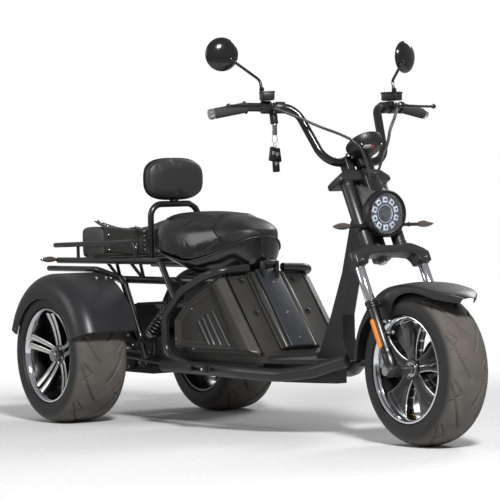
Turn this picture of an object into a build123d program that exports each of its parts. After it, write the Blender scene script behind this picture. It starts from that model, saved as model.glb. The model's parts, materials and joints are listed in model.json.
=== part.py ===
from build123d import *
from math import atan2, cos, degrees, radians, sin, tan
import os

os.makedirs("parts", exist_ok=True)

# Driving dimensions, in millimetres. +X is forward, +Y is the rider's left, +Z is up.
wheelbase = 1630
wheel_radius = 239
rear_track = 642
rear_reach = 331
rake = 27
fork_offset = 34

# Clearances between pieces
soft_gap = 0.3
bearing_gap = 0.06

# The origin is on the ground, half way between the rearmost piece and the front tyre's tread.
origin_ahead = (wheelbase + wheel_radius - rear_reach) / 2


def ahead(distance):
    """X of a place so far ahead of the rear axle."""
    return distance - origin_ahead


# Steering axis: leans back by the rake, and passes behind the front axle by the fork offset.
lean = sin(radians(rake))
rise = cos(radians(rake))
foot_x = ahead(wheelbase) - fork_offset * rise
foot_z = wheel_radius - fork_offset * lean


def on_steer(up, out, side=0):
    """Point so far up the steering axis, so far out ahead of it and so far to its left."""
    return (foot_x - lean * up + rise * out, side, foot_z + rise * up + lean * out)


def across_plane(up):
    """Plane square to the steering axis; its x runs forward and its y to the left."""
    return Plane(origin=on_steer(up, 0), x_dir=(rise, 0, lean), z_dir=(-lean, 0, rise))


def face_plane(out):
    """Plane that holds the steering axis's direction; its x runs left and its y up the axis."""
    return Plane(origin=on_steer(0, out), x_dir=(0, 1, 0), z_dir=(rise, 0, lean))


def side_plane(y):
    """Upright lengthwise plane; its x is forward, its y is up and it faces the right side."""
    return Plane(origin=(0, y, 0), x_dir=(1, 0, 0), z_dir=(0, -1, 0))


def tube(points, bends, radius):
    """Sweep a round bar along a bent path into the piece being built."""
    with BuildLine() as path:
        FilletPolyline(*points, radius=bends)
    with BuildSketch(Plane(origin=path.line @ 0, z_dir=path.line % 0)) as section:
        Circle(radius)
    sweep(section.sketch, path=path.line)


def rod(start, end, radius):
    """Extrude a straight round bar into the piece being built."""
    span = Vector(*end) - Vector(*start)
    with BuildSketch(Plane(origin=start, z_dir=span)) as section:
        Circle(radius)
    extrude(section.sketch, amount=span.length)


def slab(outline, y_low, y_high, mode=Mode.ADD):
    """Extrude a side-view outline between two distances from the middle plane."""
    with BuildSketch(side_plane(y_high)) as section:
        Polygon(*outline, align=None)
    extrude(section.sketch, amount=y_high - y_low, mode=mode)


def cut_by(*pieces):
    """Cut neighbours' shapes out of the piece being built, so that faces meet."""
    for piece in pieces:
        add(piece.part, mode=Mode.SUBTRACT)


def save(builder, name):
    """Label a finished piece and write it."""
    builder.part.label = name
    export_step(builder.part, f"parts/{name}.step")


sides = [("right", -1), ("left", 1)]

# Wheels
lip_radius = 165
lip_thickness = 5
bead_radius = 158
barrel_radius = 150
bead_height = 8
front_rim_half = 78
rear_rim_half = 96
axle_radius = 15
front_axle_radius = 10

# Tyre sections: half widths of the crown's flat, the shoulder and the widest place
front_section = {"crown": 42, "shoulder": 71, "widest": 82}
rear_section = {"crown": 78, "shoulder": 98, "widest": 104}
crown_drop = 1.5
shoulder_radius = 201
widest_radius = 184


def wheel_plane(centre):
    """Plane through the axle; its x runs left along the axle and its y up."""
    return Plane(origin=centre, x_dir=(0, 1, 0), z_dir=(1, 0, 0))


def hub_plane(centre, offset, outward):
    """Plane square to the axle, so far from the wheel's middle, facing outward."""
    place = (centre[0], centre[1] + offset * outward, centre[2])
    return Plane(origin=place, x_dir=(1, 0, 0), z_dir=(0, outward, 0))


def make_tyre(name, centre, section, rim_half):
    """Tyre: a ring that sits between the rim's lips."""
    seat = rim_half - lip_thickness
    crown_radius = wheel_radius - crown_drop
    bead_top = bead_radius + bead_height
    with BuildPart() as tyre:
        with BuildSketch(wheel_plane(centre)):
            with BuildLine():
                Line((-seat, bead_top), (-seat, bead_radius))
                Line((-seat, bead_radius), (seat, bead_radius))
                Line((seat, bead_radius), (seat, bead_top))
                ThreePointArc((seat, bead_top), (section["widest"], widest_radius),
                              (section["shoulder"], shoulder_radius))
                Line((section["shoulder"], shoulder_radius), (section["crown"], crown_radius))
                ThreePointArc((section["crown"], crown_radius), (0, wheel_radius),
                              (-section["crown"], crown_radius))
                Line((-section["crown"], crown_radius), (-section["shoulder"], shoulder_radius))
                ThreePointArc((-section["shoulder"], shoulder_radius),
                              (-section["widest"], widest_radius), (-seat, bead_top))
            make_face()
        revolve(axis=Axis(centre, (0, 1, 0)))
    save(tyre, name)
    return tyre


spoke_count = 5
spoke_overlap = 3


def make_rim(name, centre, rim_half, outward, hub_radius, hub_half, bore, spoke_table):
    """Rim: barrel with lips, hub and spokes. Each spoke row holds offset, width, inset, thickness."""
    with BuildPart() as rim:
        with BuildSketch(wheel_plane(centre)):
            seat = rim_half - lip_thickness
            Polygon((-rim_half, barrel_radius), (rim_half, barrel_radius), (rim_half, lip_radius),
                    (seat, lip_radius), (seat, bead_radius), (-seat, bead_radius),
                    (-seat, lip_radius), (-rim_half, lip_radius), align=None)
        revolve(axis=Axis(centre, (0, 1, 0)))
        with BuildSketch(hub_plane(centre, -hub_half, outward)):
            Circle(hub_radius)
        extrude(amount=2 * hub_half)
        spoke_length = barrel_radius - hub_radius + 2 * spoke_overlap
        middle = (barrel_radius + hub_radius) / 2
        for offset, width, inset, thickness in spoke_table:
            with BuildSketch(hub_plane(centre, rim_half - inset - thickness, outward)):
                with PolarLocations(0, spoke_count, start_angle=90):
                    with Locations((middle, offset)):
                        Rectangle(spoke_length, width)
            extrude(amount=thickness)
        with BuildSketch(hub_plane(centre, -hub_half, outward)):
            Circle(brake_disc_radius)
        extrude(amount=-brake_disc_thickness)
        with BuildSketch(hub_plane(centre, -rim_half, outward)):
            Circle(bore)
        extrude(amount=2 * rim_half, mode=Mode.SUBTRACT)
    save(rim, name)
    return rim


brake_disc_radius = 90
brake_disc_thickness = 4
front_centre = (ahead(wheelbase), 0, wheel_radius)
front_hub_half = 55
rear_hub_half = 60
front_spokes = [(0, 34, 26, 30)]
rear_spokes = [(-13, 13, 22, 34), (13, 13, 22, 34)]

make_tyre("front_tyre", front_centre, front_section, front_rim_half)
make_rim("front_rim", front_centre, front_rim_half, -1, 36, front_hub_half,
         front_axle_radius + bearing_gap, front_spokes)
for side_name, sign in sides:
    centre = (ahead(0), sign * rear_track / 2, wheel_radius)
    make_tyre(f"rear_tyre_{side_name}", centre, rear_section, rear_rim_half)
    make_rim(f"rear_rim_{side_name}", centre, rear_rim_half, sign, 42, rear_hub_half,
             axle_radius + bearing_gap, rear_spokes)

# Fork: two legs beside the front wheel, in line with the front axle
leg_side = 124
leg_radius = 17
collar_radius = 20
collar_height = 24
leg_top = 235
leg_foot = 10
lug_radius = 20
lug_half = 20
stanchion_radius = 15.5
yoke_low = 355
yoke_bridge_low = 388
yoke_high = 421
yoke_half = 148
yoke_back = 8
yoke_front = 60
stem_radius = 15
stem_boss_radius = 32
nut_length = 12
nut_radius = 14

with BuildPart() as fork_lowers:
    for side_name, sign in sides:
        rod(on_steer(leg_foot, fork_offset, sign * leg_side),
            on_steer(leg_top, fork_offset, sign * leg_side), leg_radius)
        rod(on_steer(leg_top - collar_height, fork_offset, sign * leg_side),
            on_steer(leg_top, fork_offset, sign * leg_side), collar_radius)
        rod((front_centre[0], sign * (leg_side - lug_half), wheel_radius),
            (front_centre[0], sign * (leg_side + lug_half), wheel_radius), lug_radius)
    with BuildSketch(side_plane(leg_side + lug_half)):
        with Locations((front_centre[0], wheel_radius)):
            Circle(front_axle_radius)
    extrude(amount=2 * (leg_side + lug_half), mode=Mode.SUBTRACT)
save(fork_lowers, "fork_lowers")

with BuildPart() as fork_tubes:
    for side_name, sign in sides:
        rod(on_steer(leg_top, fork_offset, sign * leg_side),
            on_steer(yoke_low, fork_offset, sign * leg_side), stanchion_radius)
save(fork_tubes, "fork_tubes")

spacer_gap = 2
spacer_radius = 14
with BuildPart() as front_axle:
    rod((front_centre[0], -leg_side - lug_half, wheel_radius),
        (front_centre[0], leg_side + lug_half, wheel_radius), front_axle_radius)
    for side_name, sign in sides:
        rod((front_centre[0], sign * (front_hub_half + spacer_gap + brake_disc_thickness), wheel_radius),
            (front_centre[0], sign * (leg_side - lug_half), wheel_radius), spacer_radius)
        rod((front_centre[0], sign * (leg_side + lug_half), wheel_radius),
            (front_centre[0], sign * (leg_side + lug_half + nut_length), wheel_radius), nut_radius)
save(front_axle, "front_axle")

# Head tube's length on the steering axis, and the upper clamp above it
head_low = 428
head_high = 640
head_radius = 25
head_gap = 6
clamp_low = 648
clamp_end_high = 668
clamp_high = 690
clamp_half = 100
clamp_back = -30
clamp_front = 50
cover_side = 65
cover_out = 28
cover_radius = 21

# Handlebar: points as up, out and side on the right half, mirrored for the left
bar_radius = 14
bar_points = [(724, 26, 118), (927, 18, 160), (960, -35, 300), (952, -68, 425)]
bar_bends = [70, 45, 60]
riser_side = 38
riser_half = 16
riser_half_depth = 20


def bar_path():
    """Handlebar's points from the right end to the left end."""
    right = [on_steer(up, out, -side) for up, out, side in reversed(bar_points)]
    left = [on_steer(up, out, side) for up, out, side in bar_points]
    return right + left


with BuildPart() as handlebar:
    tube(bar_path(), bar_bends[::-1][1:] + [bar_bends[0]] * 2 + bar_bends[1:], bar_radius)
save(handlebar, "handlebar")

with BuildPart() as triple_clamp:
    with BuildSketch(face_plane(yoke_back)):
        Polygon((-yoke_half, yoke_low), (-yoke_half, yoke_low + 30), (-leg_side, yoke_high - 14),
                (-78, yoke_high), (78, yoke_high), (leg_side, yoke_high - 14),
                (yoke_half, yoke_low + 30), (yoke_half, yoke_low), (leg_side - 24, yoke_low),
                (leg_side - 28, yoke_low + 20), (70, yoke_bridge_low), (-70, yoke_bridge_low),
                (28 - leg_side, yoke_low + 20), (24 - leg_side, yoke_low), align=None)
    extrude(amount=yoke_front - yoke_back)
    with BuildSketch(across_plane(yoke_bridge_low)):
        Circle(stem_boss_radius)
    extrude(amount=yoke_high - yoke_bridge_low)
    with BuildSketch(face_plane(clamp_back)):
        Polygon((-clamp_half, clamp_low), (-clamp_half, clamp_end_high), (-cover_side, clamp_high),
                (cover_side, clamp_high), (clamp_half, clamp_end_high), (clamp_half, clamp_low),
                align=None)
    extrude(amount=clamp_front - clamp_back)
    with BuildSketch(across_plane(yoke_bridge_low)):
        Circle(stem_radius - bearing_gap)
    extrude(amount=clamp_high - yoke_bridge_low)
    bar_up, bar_out, bar_side = bar_points[0]
    for side_name, sign in sides:
        with BuildSketch(face_plane(bar_out - riser_half_depth)):
            with Locations((sign * riser_side, (clamp_high + bar_up + riser_half_depth) / 2)):
                Rectangle(2 * riser_half, bar_up + riser_half_depth - clamp_high)
        extrude(amount=2 * riser_half_depth)
    cut_by(handlebar)
save(triple_clamp, "triple_clamp")

with BuildPart() as fork_covers:
    for side_name, sign in sides:
        rod(on_steer(yoke_high, cover_out, sign * cover_side),
            on_steer(clamp_low, cover_out, sign * cover_side), cover_radius)
save(fork_covers, "fork_covers")

# Grips over the bar's ends, and the brake levers inboard of them
grip_radius = 17
grip_length = 122
grip_end_cap = 6


def between(first, second, share):
    """Point part of the way from one point to another."""
    return tuple(a + (b - a) * share for a, b in zip(first, second))


with BuildPart() as grips:
    for side_name, sign in sides:
        bend = Vector(*on_steer(bar_points[2][0], bar_points[2][1], sign * bar_points[2][2]))
        end = Vector(*on_steer(bar_points[3][0], bar_points[3][1], sign * bar_points[3][2]))
        along = (end - bend).normalized()
        rod(tuple(end - along * grip_length), tuple(end + along * grip_end_cap), grip_radius)
    cut_by(handlebar)
save(grips, "grips")

perch_radius = 21
perch_length = 34
lever_radius = 6
lever_ball_radius = 9
reservoir_size = (62, 42, 32)
reservoir_rise = 34
with BuildPart() as brake_levers:
    for side_name, sign in sides:
        start = Vector(*on_steer(bar_points[1][0], bar_points[1][1], sign * bar_points[1][2]))
        end = Vector(*on_steer(bar_points[2][0], bar_points[2][1], sign * bar_points[2][2]))
        along = (end - start).normalized()
        place = start + (end - start) * 0.62
        rod(tuple(place - along * perch_length / 2),
            tuple(place + along * perch_length / 2), perch_radius)
        pivot = place + Vector(42, 0, 4)
        rod(tuple(place), tuple(pivot), 12)
        ball = Vector(*on_steer(938, 10, sign * 405))
        rod(tuple(pivot), tuple(ball), lever_radius)
        with Locations(tuple(ball)):
            Sphere(lever_ball_radius)
        with Locations(tuple(place + Vector(8, 0, reservoir_rise))):
            Box(*reservoir_size)
    cut_by(handlebar)
save(brake_levers, "brake_levers")

# Mirrors: a bent stem from the lever's perch to a round head turned a little outward
mirror_radius = 54
mirror_depth = 20
mirror_turn = 18.5
mirror_centre = (1130, 3, 364)
stem_points = [(991, 11, 262), (1029, 19, 262), (1112, 8, 345)]
mirror_stem_radius = 5
for side_name, sign in sides:
    with BuildPart() as mirror:
        tube([on_steer(up, out, sign * side) for up, out, side in stem_points], 20, mirror_stem_radius)
        facing = (cos(radians(mirror_turn)), sign * sin(radians(mirror_turn)), 0)
        centre = on_steer(mirror_centre[0], mirror_centre[1], sign * mirror_centre[2])
        with BuildSketch(Plane(origin=centre, z_dir=facing)):
            Circle(mirror_radius)
        extrude(amount=mirror_depth, taper=35)
        with BuildSketch(Plane(origin=centre, z_dir=facing)):
            Circle(mirror_radius)
        extrude(amount=-6)
        cut_by(brake_levers)
    save(mirror, f"mirror_{side_name}")

# Headlight: a round lamp that looks straight ahead, in a shroud that reaches back between the covers
lamp_up = 506
lamp_out = 92
lamp_radius = 66
bezel_radius = 75
bowl_depth = 40
lens_depth = 12
shroud_half = cover_side - cover_radius
lamp_x, lamp_y, lamp_z = on_steer(lamp_up, lamp_out)


def lamp_plane(distance):
    """Plane across the lamp, so far ahead of its rim."""
    return Plane(origin=(lamp_x + distance, 0, lamp_z), x_dir=(0, 1, 0), z_dir=(1, 0, 0))


with BuildPart() as headlight:
    with BuildSketch(lamp_plane(-bowl_depth + lens_depth)):
        Circle(lamp_radius)
    extrude(amount=bowl_depth)
save(headlight, "headlight")

with BuildPart() as headlight_shroud:
    with BuildSketch(lamp_plane(-bowl_depth)):
        Circle(bezel_radius)
    extrude(amount=bowl_depth + lens_depth / 2)
    with BuildSketch(face_plane(30)):
        with Locations((0, 560)):
            Rectangle(2 * shroud_half, 150)
    extrude(amount=40)
    with BuildSketch(face_plane(52)):
        with Locations((0, 590)):
            Rectangle(56, 100)
    extrude(amount=30)
    with BuildSketch(across_plane(head_low)):
        Circle(head_radius + head_gap)
    extrude(amount=head_high - head_low, mode=Mode.SUBTRACT)
    cut_by(headlight, triple_clamp, fork_covers)
save(headlight_shroud, "headlight_shroud")

# Front turn signals on stalks beside the lamp
signal_up = 482
signal_out = 60
signal_tip = 198
signal_start = 128
with BuildPart() as front_signals:
    for side_name, sign in sides:
        rod(on_steer(signal_up, signal_out, sign * 50), on_steer(signal_up, signal_out, sign * signal_start), 6)
        rod(on_steer(signal_up, signal_out, sign * signal_start),
            on_steer(signal_up, signal_out, sign * signal_tip), 12)
    cut_by(headlight_shroud, fork_covers, headlight)
save(front_signals, "front_signals")

# Display pod ahead of the bar's clamp, tilted towards the rider
display_up = 760
display_out = 92
display_radius = 61
display_depth = 40
display_tilt = 35
with BuildPart() as display:
    centre = on_steer(display_up, display_out)
    facing = (-sin(radians(display_tilt)), 0, cos(radians(display_tilt)))
    with BuildSketch(Plane(origin=centre, x_dir=(0, 1, 0), z_dir=facing)):
        Circle(display_radius)
    extrude(amount=-display_depth)
    with BuildSketch(face_plane(clamp_front)):
        with Locations((0, (clamp_high + display_up) / 2)):
            Rectangle(36, display_up - clamp_high)
    extrude(amount=20)
    rod(on_steer(clamp_high + 12, bar_out, 0), on_steer(clamp_high + 12, clamp_front + 10, 0), 9)
    cut_by(triple_clamp, handlebar)
save(display, "display")

# Front fender: follows the tyre from its rear flap to its flared nose, on brackets from the fork legs
fender_inner = 262
fender_wall = 4
fender_half = 92
fender_skirt = 38
fender_rear_angle = 176
fender_nose_angle = 68
fender_flare = 92
flare_drop = 5
fender_bracket_up = 224
fender_bracket_radius = 10


def fender_section(inner, wall, half, skirt, low_half):
    """Section of a fender, across the wheel's middle, with skirts down both sides."""
    outer = inner + wall
    return [(-half, inner - skirt), (-half, inner - 12), (12 - half, outer), (half - 12, outer),
            (half, inner - 12), (half, inner - skirt), (low_half, inner - skirt),
            (low_half, inner - 14), (half - 14, inner), (14 - half, inner), (-low_half, inner - 14),
            (-low_half, inner - skirt)]


def fender_arc(arc):
    """Turn the fender's section through an arc from the wheel's top."""
    with BuildSketch(wheel_plane(front_centre)) as section:
        Polygon(*fender_section(fender_inner, fender_wall, fender_half, fender_skirt,
                                fender_half - fender_wall), align=None)
    revolve(section.sketch, axis=Axis(front_centre, (0, 1, 0)), revolution_arc=arc)


with BuildPart() as front_fender:
    fender_arc(90 - fender_nose_angle)
    fender_arc(90 - fender_rear_angle)
    turn = radians(fender_nose_angle)
    nose = Plane(origin=front_centre, x_dir=(0, 1, 0), z_dir=(sin(turn), 0, -cos(turn)))
    with BuildSketch(nose) as section:
        Polygon(*fender_section(fender_inner, fender_wall, fender_half, fender_skirt,
                                fender_half - fender_wall), align=None)
    extrude(section.sketch, amount=fender_flare, dir=(cos(radians(flare_drop)), 0, -sin(radians(flare_drop))))
    for side_name, sign in sides:
        rod(on_steer(fender_bracket_up, fork_offset, sign * (fender_half - fender_wall)),
            on_steer(fender_bracket_up, fork_offset, sign * leg_side), fender_bracket_radius)
    cut_by(fork_lowers)
save(front_fender, "front_fender")

# Brake cables: from each lever's perch down to the shroud's top, held at both ends
cable_radius = 5
cable_bend_share = 0.45
cable_points = {
    "right": [(925, 20, -243), (874, 52, -186), (828, 72, -134), (782, 108, -92), (738, 134, -62),
              (690, 122, -32), (634, 78, -12)],
    "left": [(925, 20, 243), (872, 58, 190), (822, 84, 138), (780, 118, 94), (736, 134, 62),
             (688, 122, 30), (634, 78, 12)],
}


def cable_bends(points):
    """Bend radii that are as large as each corner's two runs allow."""
    radii = []
    for before, corner, after in zip(points, points[1:], points[2:]):
        run_in = Vector(*corner) - Vector(*before)
        run_out = Vector(*after) - Vector(*corner)
        turn = radians(run_in.get_angle(run_out))
        radii.append(cable_bend_share * min(run_in.length, run_out.length) / tan(turn / 2))
    return radii


with BuildPart() as brake_cables:
    for side_name, sign in sides:
        route = [on_steer(*point) for point in cable_points[side_name]]
        radii = cable_bends(route)
        print("cable", side_name, "radii", [round(radius) for radius in radii])
        tube(route, radii, cable_radius)
    cut_by(brake_levers, headlight_shroud, display)
save(brake_cables, "brake_cables")

# Ignition lock under the right bar, with its keys hanging down
lock_radius = 13
lock_length = 44
key_length = 170
with BuildPart() as ignition_keys:
    lock_top = on_steer(936, -12, -226)
    rod(lock_top, (lock_top[0] + 8, lock_top[1], lock_top[2] - lock_length), lock_radius)
    with Locations((lock_top[0] + 8, lock_top[1], lock_top[2] - lock_length - key_length / 2)):
        Box(8, 16, key_length)
    cut_by(handlebar, brake_levers)
save(ignition_keys, "ignition_keys")

# Main frame: head tube, neck, the pair of lower tubes and their cross tubes
neck_half = 24
neck_foot = 236
neck_outline = [(1085, neck_foot), (1085, 250), (1118, 295), (1173, 394), (1238, 529), (1290, 690),
                (1326, 729), (1345, 720), (1376, 642), (1330, 600), (1278, 529), (1236, 394), (1236, 320),
                (1270, 250), (1196, neck_foot)]
lower_radius = 22
lower_points = [(430, 200, 211), (867, 188, 206), (1040, 140, 199), (1150, 85, 214), (1262, 30, 250)]
lower_bends = [300, 150, 150]
cross_radius = 14
pivot_ahead = 442
cross_places = [(pivot_ahead, 212), (880, 206)]

with BuildPart() as main_frame:
    with BuildSketch(across_plane(head_low)):
        Circle(head_radius)
    extrude(amount=head_high - head_low)
    slab([(ahead(x), z) for x, z in neck_outline], -neck_half, neck_half)
    for side_name, sign in sides:
        tube([(ahead(x), sign * y, z) for x, y, z in lower_points], lower_bends, lower_radius)
    for place, height in cross_places:
        rod((ahead(place), -lower_points[0][1], height), (ahead(place), lower_points[0][1], height),
            cross_radius)
    with BuildSketch(across_plane(head_low)):
        Circle(stem_radius)
    extrude(amount=head_high - head_low, mode=Mode.SUBTRACT)
save(main_frame, "main_frame")

# Rear frame: rack platform over the truss, and struts down to the shock absorbers' top mounts
rack_height = 565
rack_half = 190
rack_rear = -305
rack_tube_radius = 11
truss_height = 498
truss_half = 150
truss_radius = 13
strut_top = 405
shock_half = 172
shock_top = (470, 440)
shock_foot = (270, 292)
loop_half = 200
loop_radius = 14
loop_points = [(765, 70, 541), (765, 192, 535), (690, 200, 515), (550, 200, 464), (442, 200, 378),
               (442, 200, 246), (620, 196, 212)]
loop_bends = [50, 30, 60, 60, 50]
platform_radius = 8
platform_places = [-294, -190, -100, -10, 90, 200]
brace_places = [(70, 40), (70, 110), (230, 200), (230, 270)]

side_loops = {}
for side_name, sign in sides:
    with BuildPart() as side_loop:
        tube([(ahead(x), sign * y, z) for x, y, z in loop_points], loop_bends, loop_radius)
        cut_by(main_frame)
    save(side_loop, f"side_loop_{side_name}")
    side_loops[side_name] = side_loop

with BuildPart() as rear_truss:
    for side_name, sign in sides:
        tube([(ahead(rack_rear), sign * rack_half, rack_height), (ahead(strut_top), sign * rack_half, rack_height),
              (ahead(500), sign * 190, 425)], 40, rack_tube_radius)
        tube([(ahead(60), sign * truss_half, truss_height), (ahead(430), sign * truss_half, truss_height),
              (ahead(680), sign * 100, truss_height)], 150, truss_radius)
        for low, high in brace_places:
            rod((ahead(low), sign * truss_half, truss_height), (ahead(high), sign * rack_half, rack_height), 6)
        rod((ahead(shock_top[0]), sign * (shock_half - 28), shock_top[1]),
            (ahead(shock_top[0]), sign * (rack_half + 10), shock_top[1]), 8)
        rod((ahead(shock_top[0]), sign * (shock_half - 28), shock_top[1]),
            (ahead(shock_top[0]), sign * (shock_half - 28), truss_height), 8)
    for place in platform_places:
        rod((ahead(place), -rack_half, rack_height), (ahead(place), rack_half, rack_height),
            platform_radius)
    cut_by(*side_loops.values())
save(rear_truss, "rear_truss")

# Rack rails: a raised rail along each side of the platform
rail_height = 626
rail_radius = 9
rail_rear = -326
rail_front = 246
rail_post = -159
with BuildPart() as rack_rails:
    for side_name, sign in sides:
        tube([(ahead(rail_rear), sign * rack_half, rail_height - 6), (ahead(rail_front), sign * rack_half, rail_height + 6),
              (ahead(rail_front), sign * rack_half, rack_height)], 30, rail_radius)
        rod((ahead(rail_post), sign * rack_half, rail_height - 3), (ahead(rail_post), sign * rack_half, rack_height), 6)
    cut_by(rear_truss)
save(rack_rails, "rack_rails")

# Rear suspension: swing arm from the cross tube to the axle, axle beam, and drive unit between the wheels
arm_half = 138
arm_radius = 16
beam_radius = 30
beam_half = 185
shaft_end = 400
with BuildPart() as rear_axle:
    rod((ahead(0), -beam_half, wheel_radius), (ahead(0), beam_half, wheel_radius), beam_radius)
    rod((ahead(0), -shaft_end, wheel_radius), (ahead(0), shaft_end, wheel_radius), axle_radius)
    for side_name, sign in sides:
        hub_face = rear_track / 2 + rear_hub_half + 2
        rod((ahead(0), sign * hub_face, wheel_radius), (ahead(0), sign * (hub_face + nut_length), wheel_radius), 22)
save(rear_axle, "rear_axle")

with BuildPart() as swing_arm:
    for side_name, sign in sides:
        rod((ahead(0), sign * arm_half, wheel_radius), (ahead(pivot_ahead), sign * arm_half, cross_places[0][1]),
            arm_radius)
        rod((ahead(shock_foot[0]), sign * arm_half, 226), (ahead(shock_foot[0]), sign * arm_half, shock_foot[1]), 10)
        rod((ahead(shock_foot[0]), sign * (arm_half - 8), shock_foot[1]),
            (ahead(shock_foot[0]), sign * (shock_half + 22), shock_foot[1]), 8)
    cut_by(main_frame, rear_axle)
save(swing_arm, "swing_arm")

drive_box = {"back": -88, "front": 205, "low": 162, "high": 318, "half": 84}
with BuildPart() as drive_unit:
    with BuildSketch(side_plane(drive_box["half"])):
        with Locations(((ahead(drive_box["back"]) + ahead(drive_box["front"])) / 2,
                        (drive_box["low"] + drive_box["high"]) / 2)):
            RectangleRounded(drive_box["front"] - drive_box["back"], drive_box["high"] - drive_box["low"], 40)
    extrude(amount=2 * drive_box["half"])
    cut_by(rear_axle, swing_arm)
save(drive_unit, "drive_unit")

with BuildPart() as controller_box:
    slab([(ahead(70), drive_box["high"]), (ahead(70), 396), (ahead(90), 410), (ahead(232), 410),
          (ahead(250), 396), (ahead(250), 332), (ahead(200), drive_box["high"])], -110, 110)
    cut_by(drive_unit, swing_arm)
save(controller_box, "controller_box")

spring_radius = 23
rod_radius = 9
eye_radius = 15
shocks = {}
for side_name, sign in sides:
    with BuildPart() as shock:
        top = (ahead(shock_top[0]), sign * shock_half, shock_top[1])
        foot = (ahead(shock_foot[0]), sign * shock_half, shock_foot[1])
        rod(foot, top, rod_radius)
        rod(between(foot, top, 0.14), between(foot, top, 0.86), spring_radius)
        for end in (top, foot):
            rod((end[0], end[1] - 12, end[2]), (end[0], end[1] + 12, end[2]), eye_radius)
        cut_by(rear_truss, swing_arm)
    save(shock, f"shock_{side_name}")
    shocks[side_name] = shock

# Fender stays: a tube over each rear fender that bends down to the swing arm
stay_radius = 10
stay_bend_radius = 13
with BuildPart() as fender_stays:
    for side_name, sign in sides:
        tube([(ahead(-319), sign * 222, 536.5), (ahead(30), sign * 222, 536.5), (ahead(100), sign * 175, 506)],
             60, stay_radius)
        tube([(ahead(66), sign * 172, 505), (ahead(120), sign * 172, 505), (ahead(232), sign * 172, 300),
              (ahead(232), sign * 152, 225)], [45, 20], stay_bend_radius)
    cut_by(rear_truss, swing_arm, *shocks.values())
save(fender_stays, "fender_stays")

# Rear fenders: a round shell over each wheel with a rounded shoulder and a flat outer side
rear_fender_inner = 284
rear_fender_wall = 3
rear_fender_in = 212
rear_fender_out = 436
rear_fender_corner = 55
rear_fender_skirt = 203
rear_fender_front = 18
rear_fender_rear = 160


def rear_fender_arc(centre, sign, arc):
    """Turn the rear fender's section through an arc from the wheel's top."""
    inner = rear_fender_inner
    outer = rear_fender_inner + rear_fender_wall
    inside = rear_fender_in - rear_track / 2
    outside = rear_fender_out - rear_track / 2
    corner = rear_fender_corner
    slant = corner * (1 - sin(radians(45)))
    wall_slant = slant + rear_fender_wall * sin(radians(45))
    with BuildSketch(Plane(origin=centre, x_dir=(0, sign, 0), z_dir=(sign, 0, 0))) as section:
        with BuildLine():
            Polyline((outside - corner, inner), (inside, inner), (inside, outer),
                     (outside - corner, outer))
            ThreePointArc((outside - corner, outer), (outside - slant, outer - slant),
                          (outside, outer - corner))
            Polyline((outside, outer - corner), (outside, rear_fender_skirt),
                     (outside - rear_fender_wall, rear_fender_skirt),
                     (outside - rear_fender_wall, outer - corner))
            ThreePointArc((outside - rear_fender_wall, outer - corner),
                          (outside - wall_slant, outer - wall_slant), (outside - corner, inner))
        make_face()
    revolve(section.sketch, axis=Axis(centre, (0, 1, 0)), revolution_arc=arc)


for side_name, sign in sides:
    centre = (ahead(0), sign * rear_track / 2, wheel_radius)
    with BuildPart() as rear_fender:
        rear_fender_arc(centre, sign, 90 - rear_fender_front)
        rear_fender_arc(centre, sign, 90 - rear_fender_rear)
        cut_by(fender_stays)
    save(rear_fender, f"rear_fender_{side_name}")

# Battery case behind the rider's legs, side panels with louvres, and the raised front cover
case_half = 150
panel_half = 190
case_toe = 988
case_outline = [(452, 256), (452, 370), (556, 452), (640, 488), (752, 528), (962, 272), (case_toe, 262),
                (case_toe, 236), (452, 236)]
panel_outline = [(452, 256), (452, 370), (556, 452), (640, 488), (752, 528), (962, 272), (962, 256)]
with BuildPart() as battery_case:
    slab([(ahead(x), z) for x, z in case_outline], -case_half, case_half)
    cut_by(rear_truss, main_frame, *side_loops.values())
save(battery_case, "battery_case")

louvre_depth = 4
louvre_width = 11
louvre_places = [(605, 364, 672, 283), (632, 376, 704, 281), (658, 389, 746, 280), (692, 402, 800, 276)]
for side_name, sign in sides:
    with BuildPart() as side_panel:
        low = min(sign * case_half, sign * panel_half)
        slab([(ahead(x), z) for x, z in panel_outline], low, low + panel_half - case_half)
        for x1, z1, x2, z2 in louvre_places:
            with BuildSketch(side_plane(sign * panel_half)) as slot:
                with Locations(((ahead(x1) + ahead(x2)) / 2, (z1 + z2) / 2)):
                    SlotOverall(Vector(x2 - x1, z2 - z1, 0).length, louvre_width,
                                rotation=-degrees(atan2(z1 - z2, x2 - x1)))
            extrude(slot.sketch, amount=louvre_depth, both=True, mode=Mode.SUBTRACT)
        cut_by(main_frame, rear_truss, *side_loops.values())
    save(side_panel, f"side_panel_{side_name}")

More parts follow.
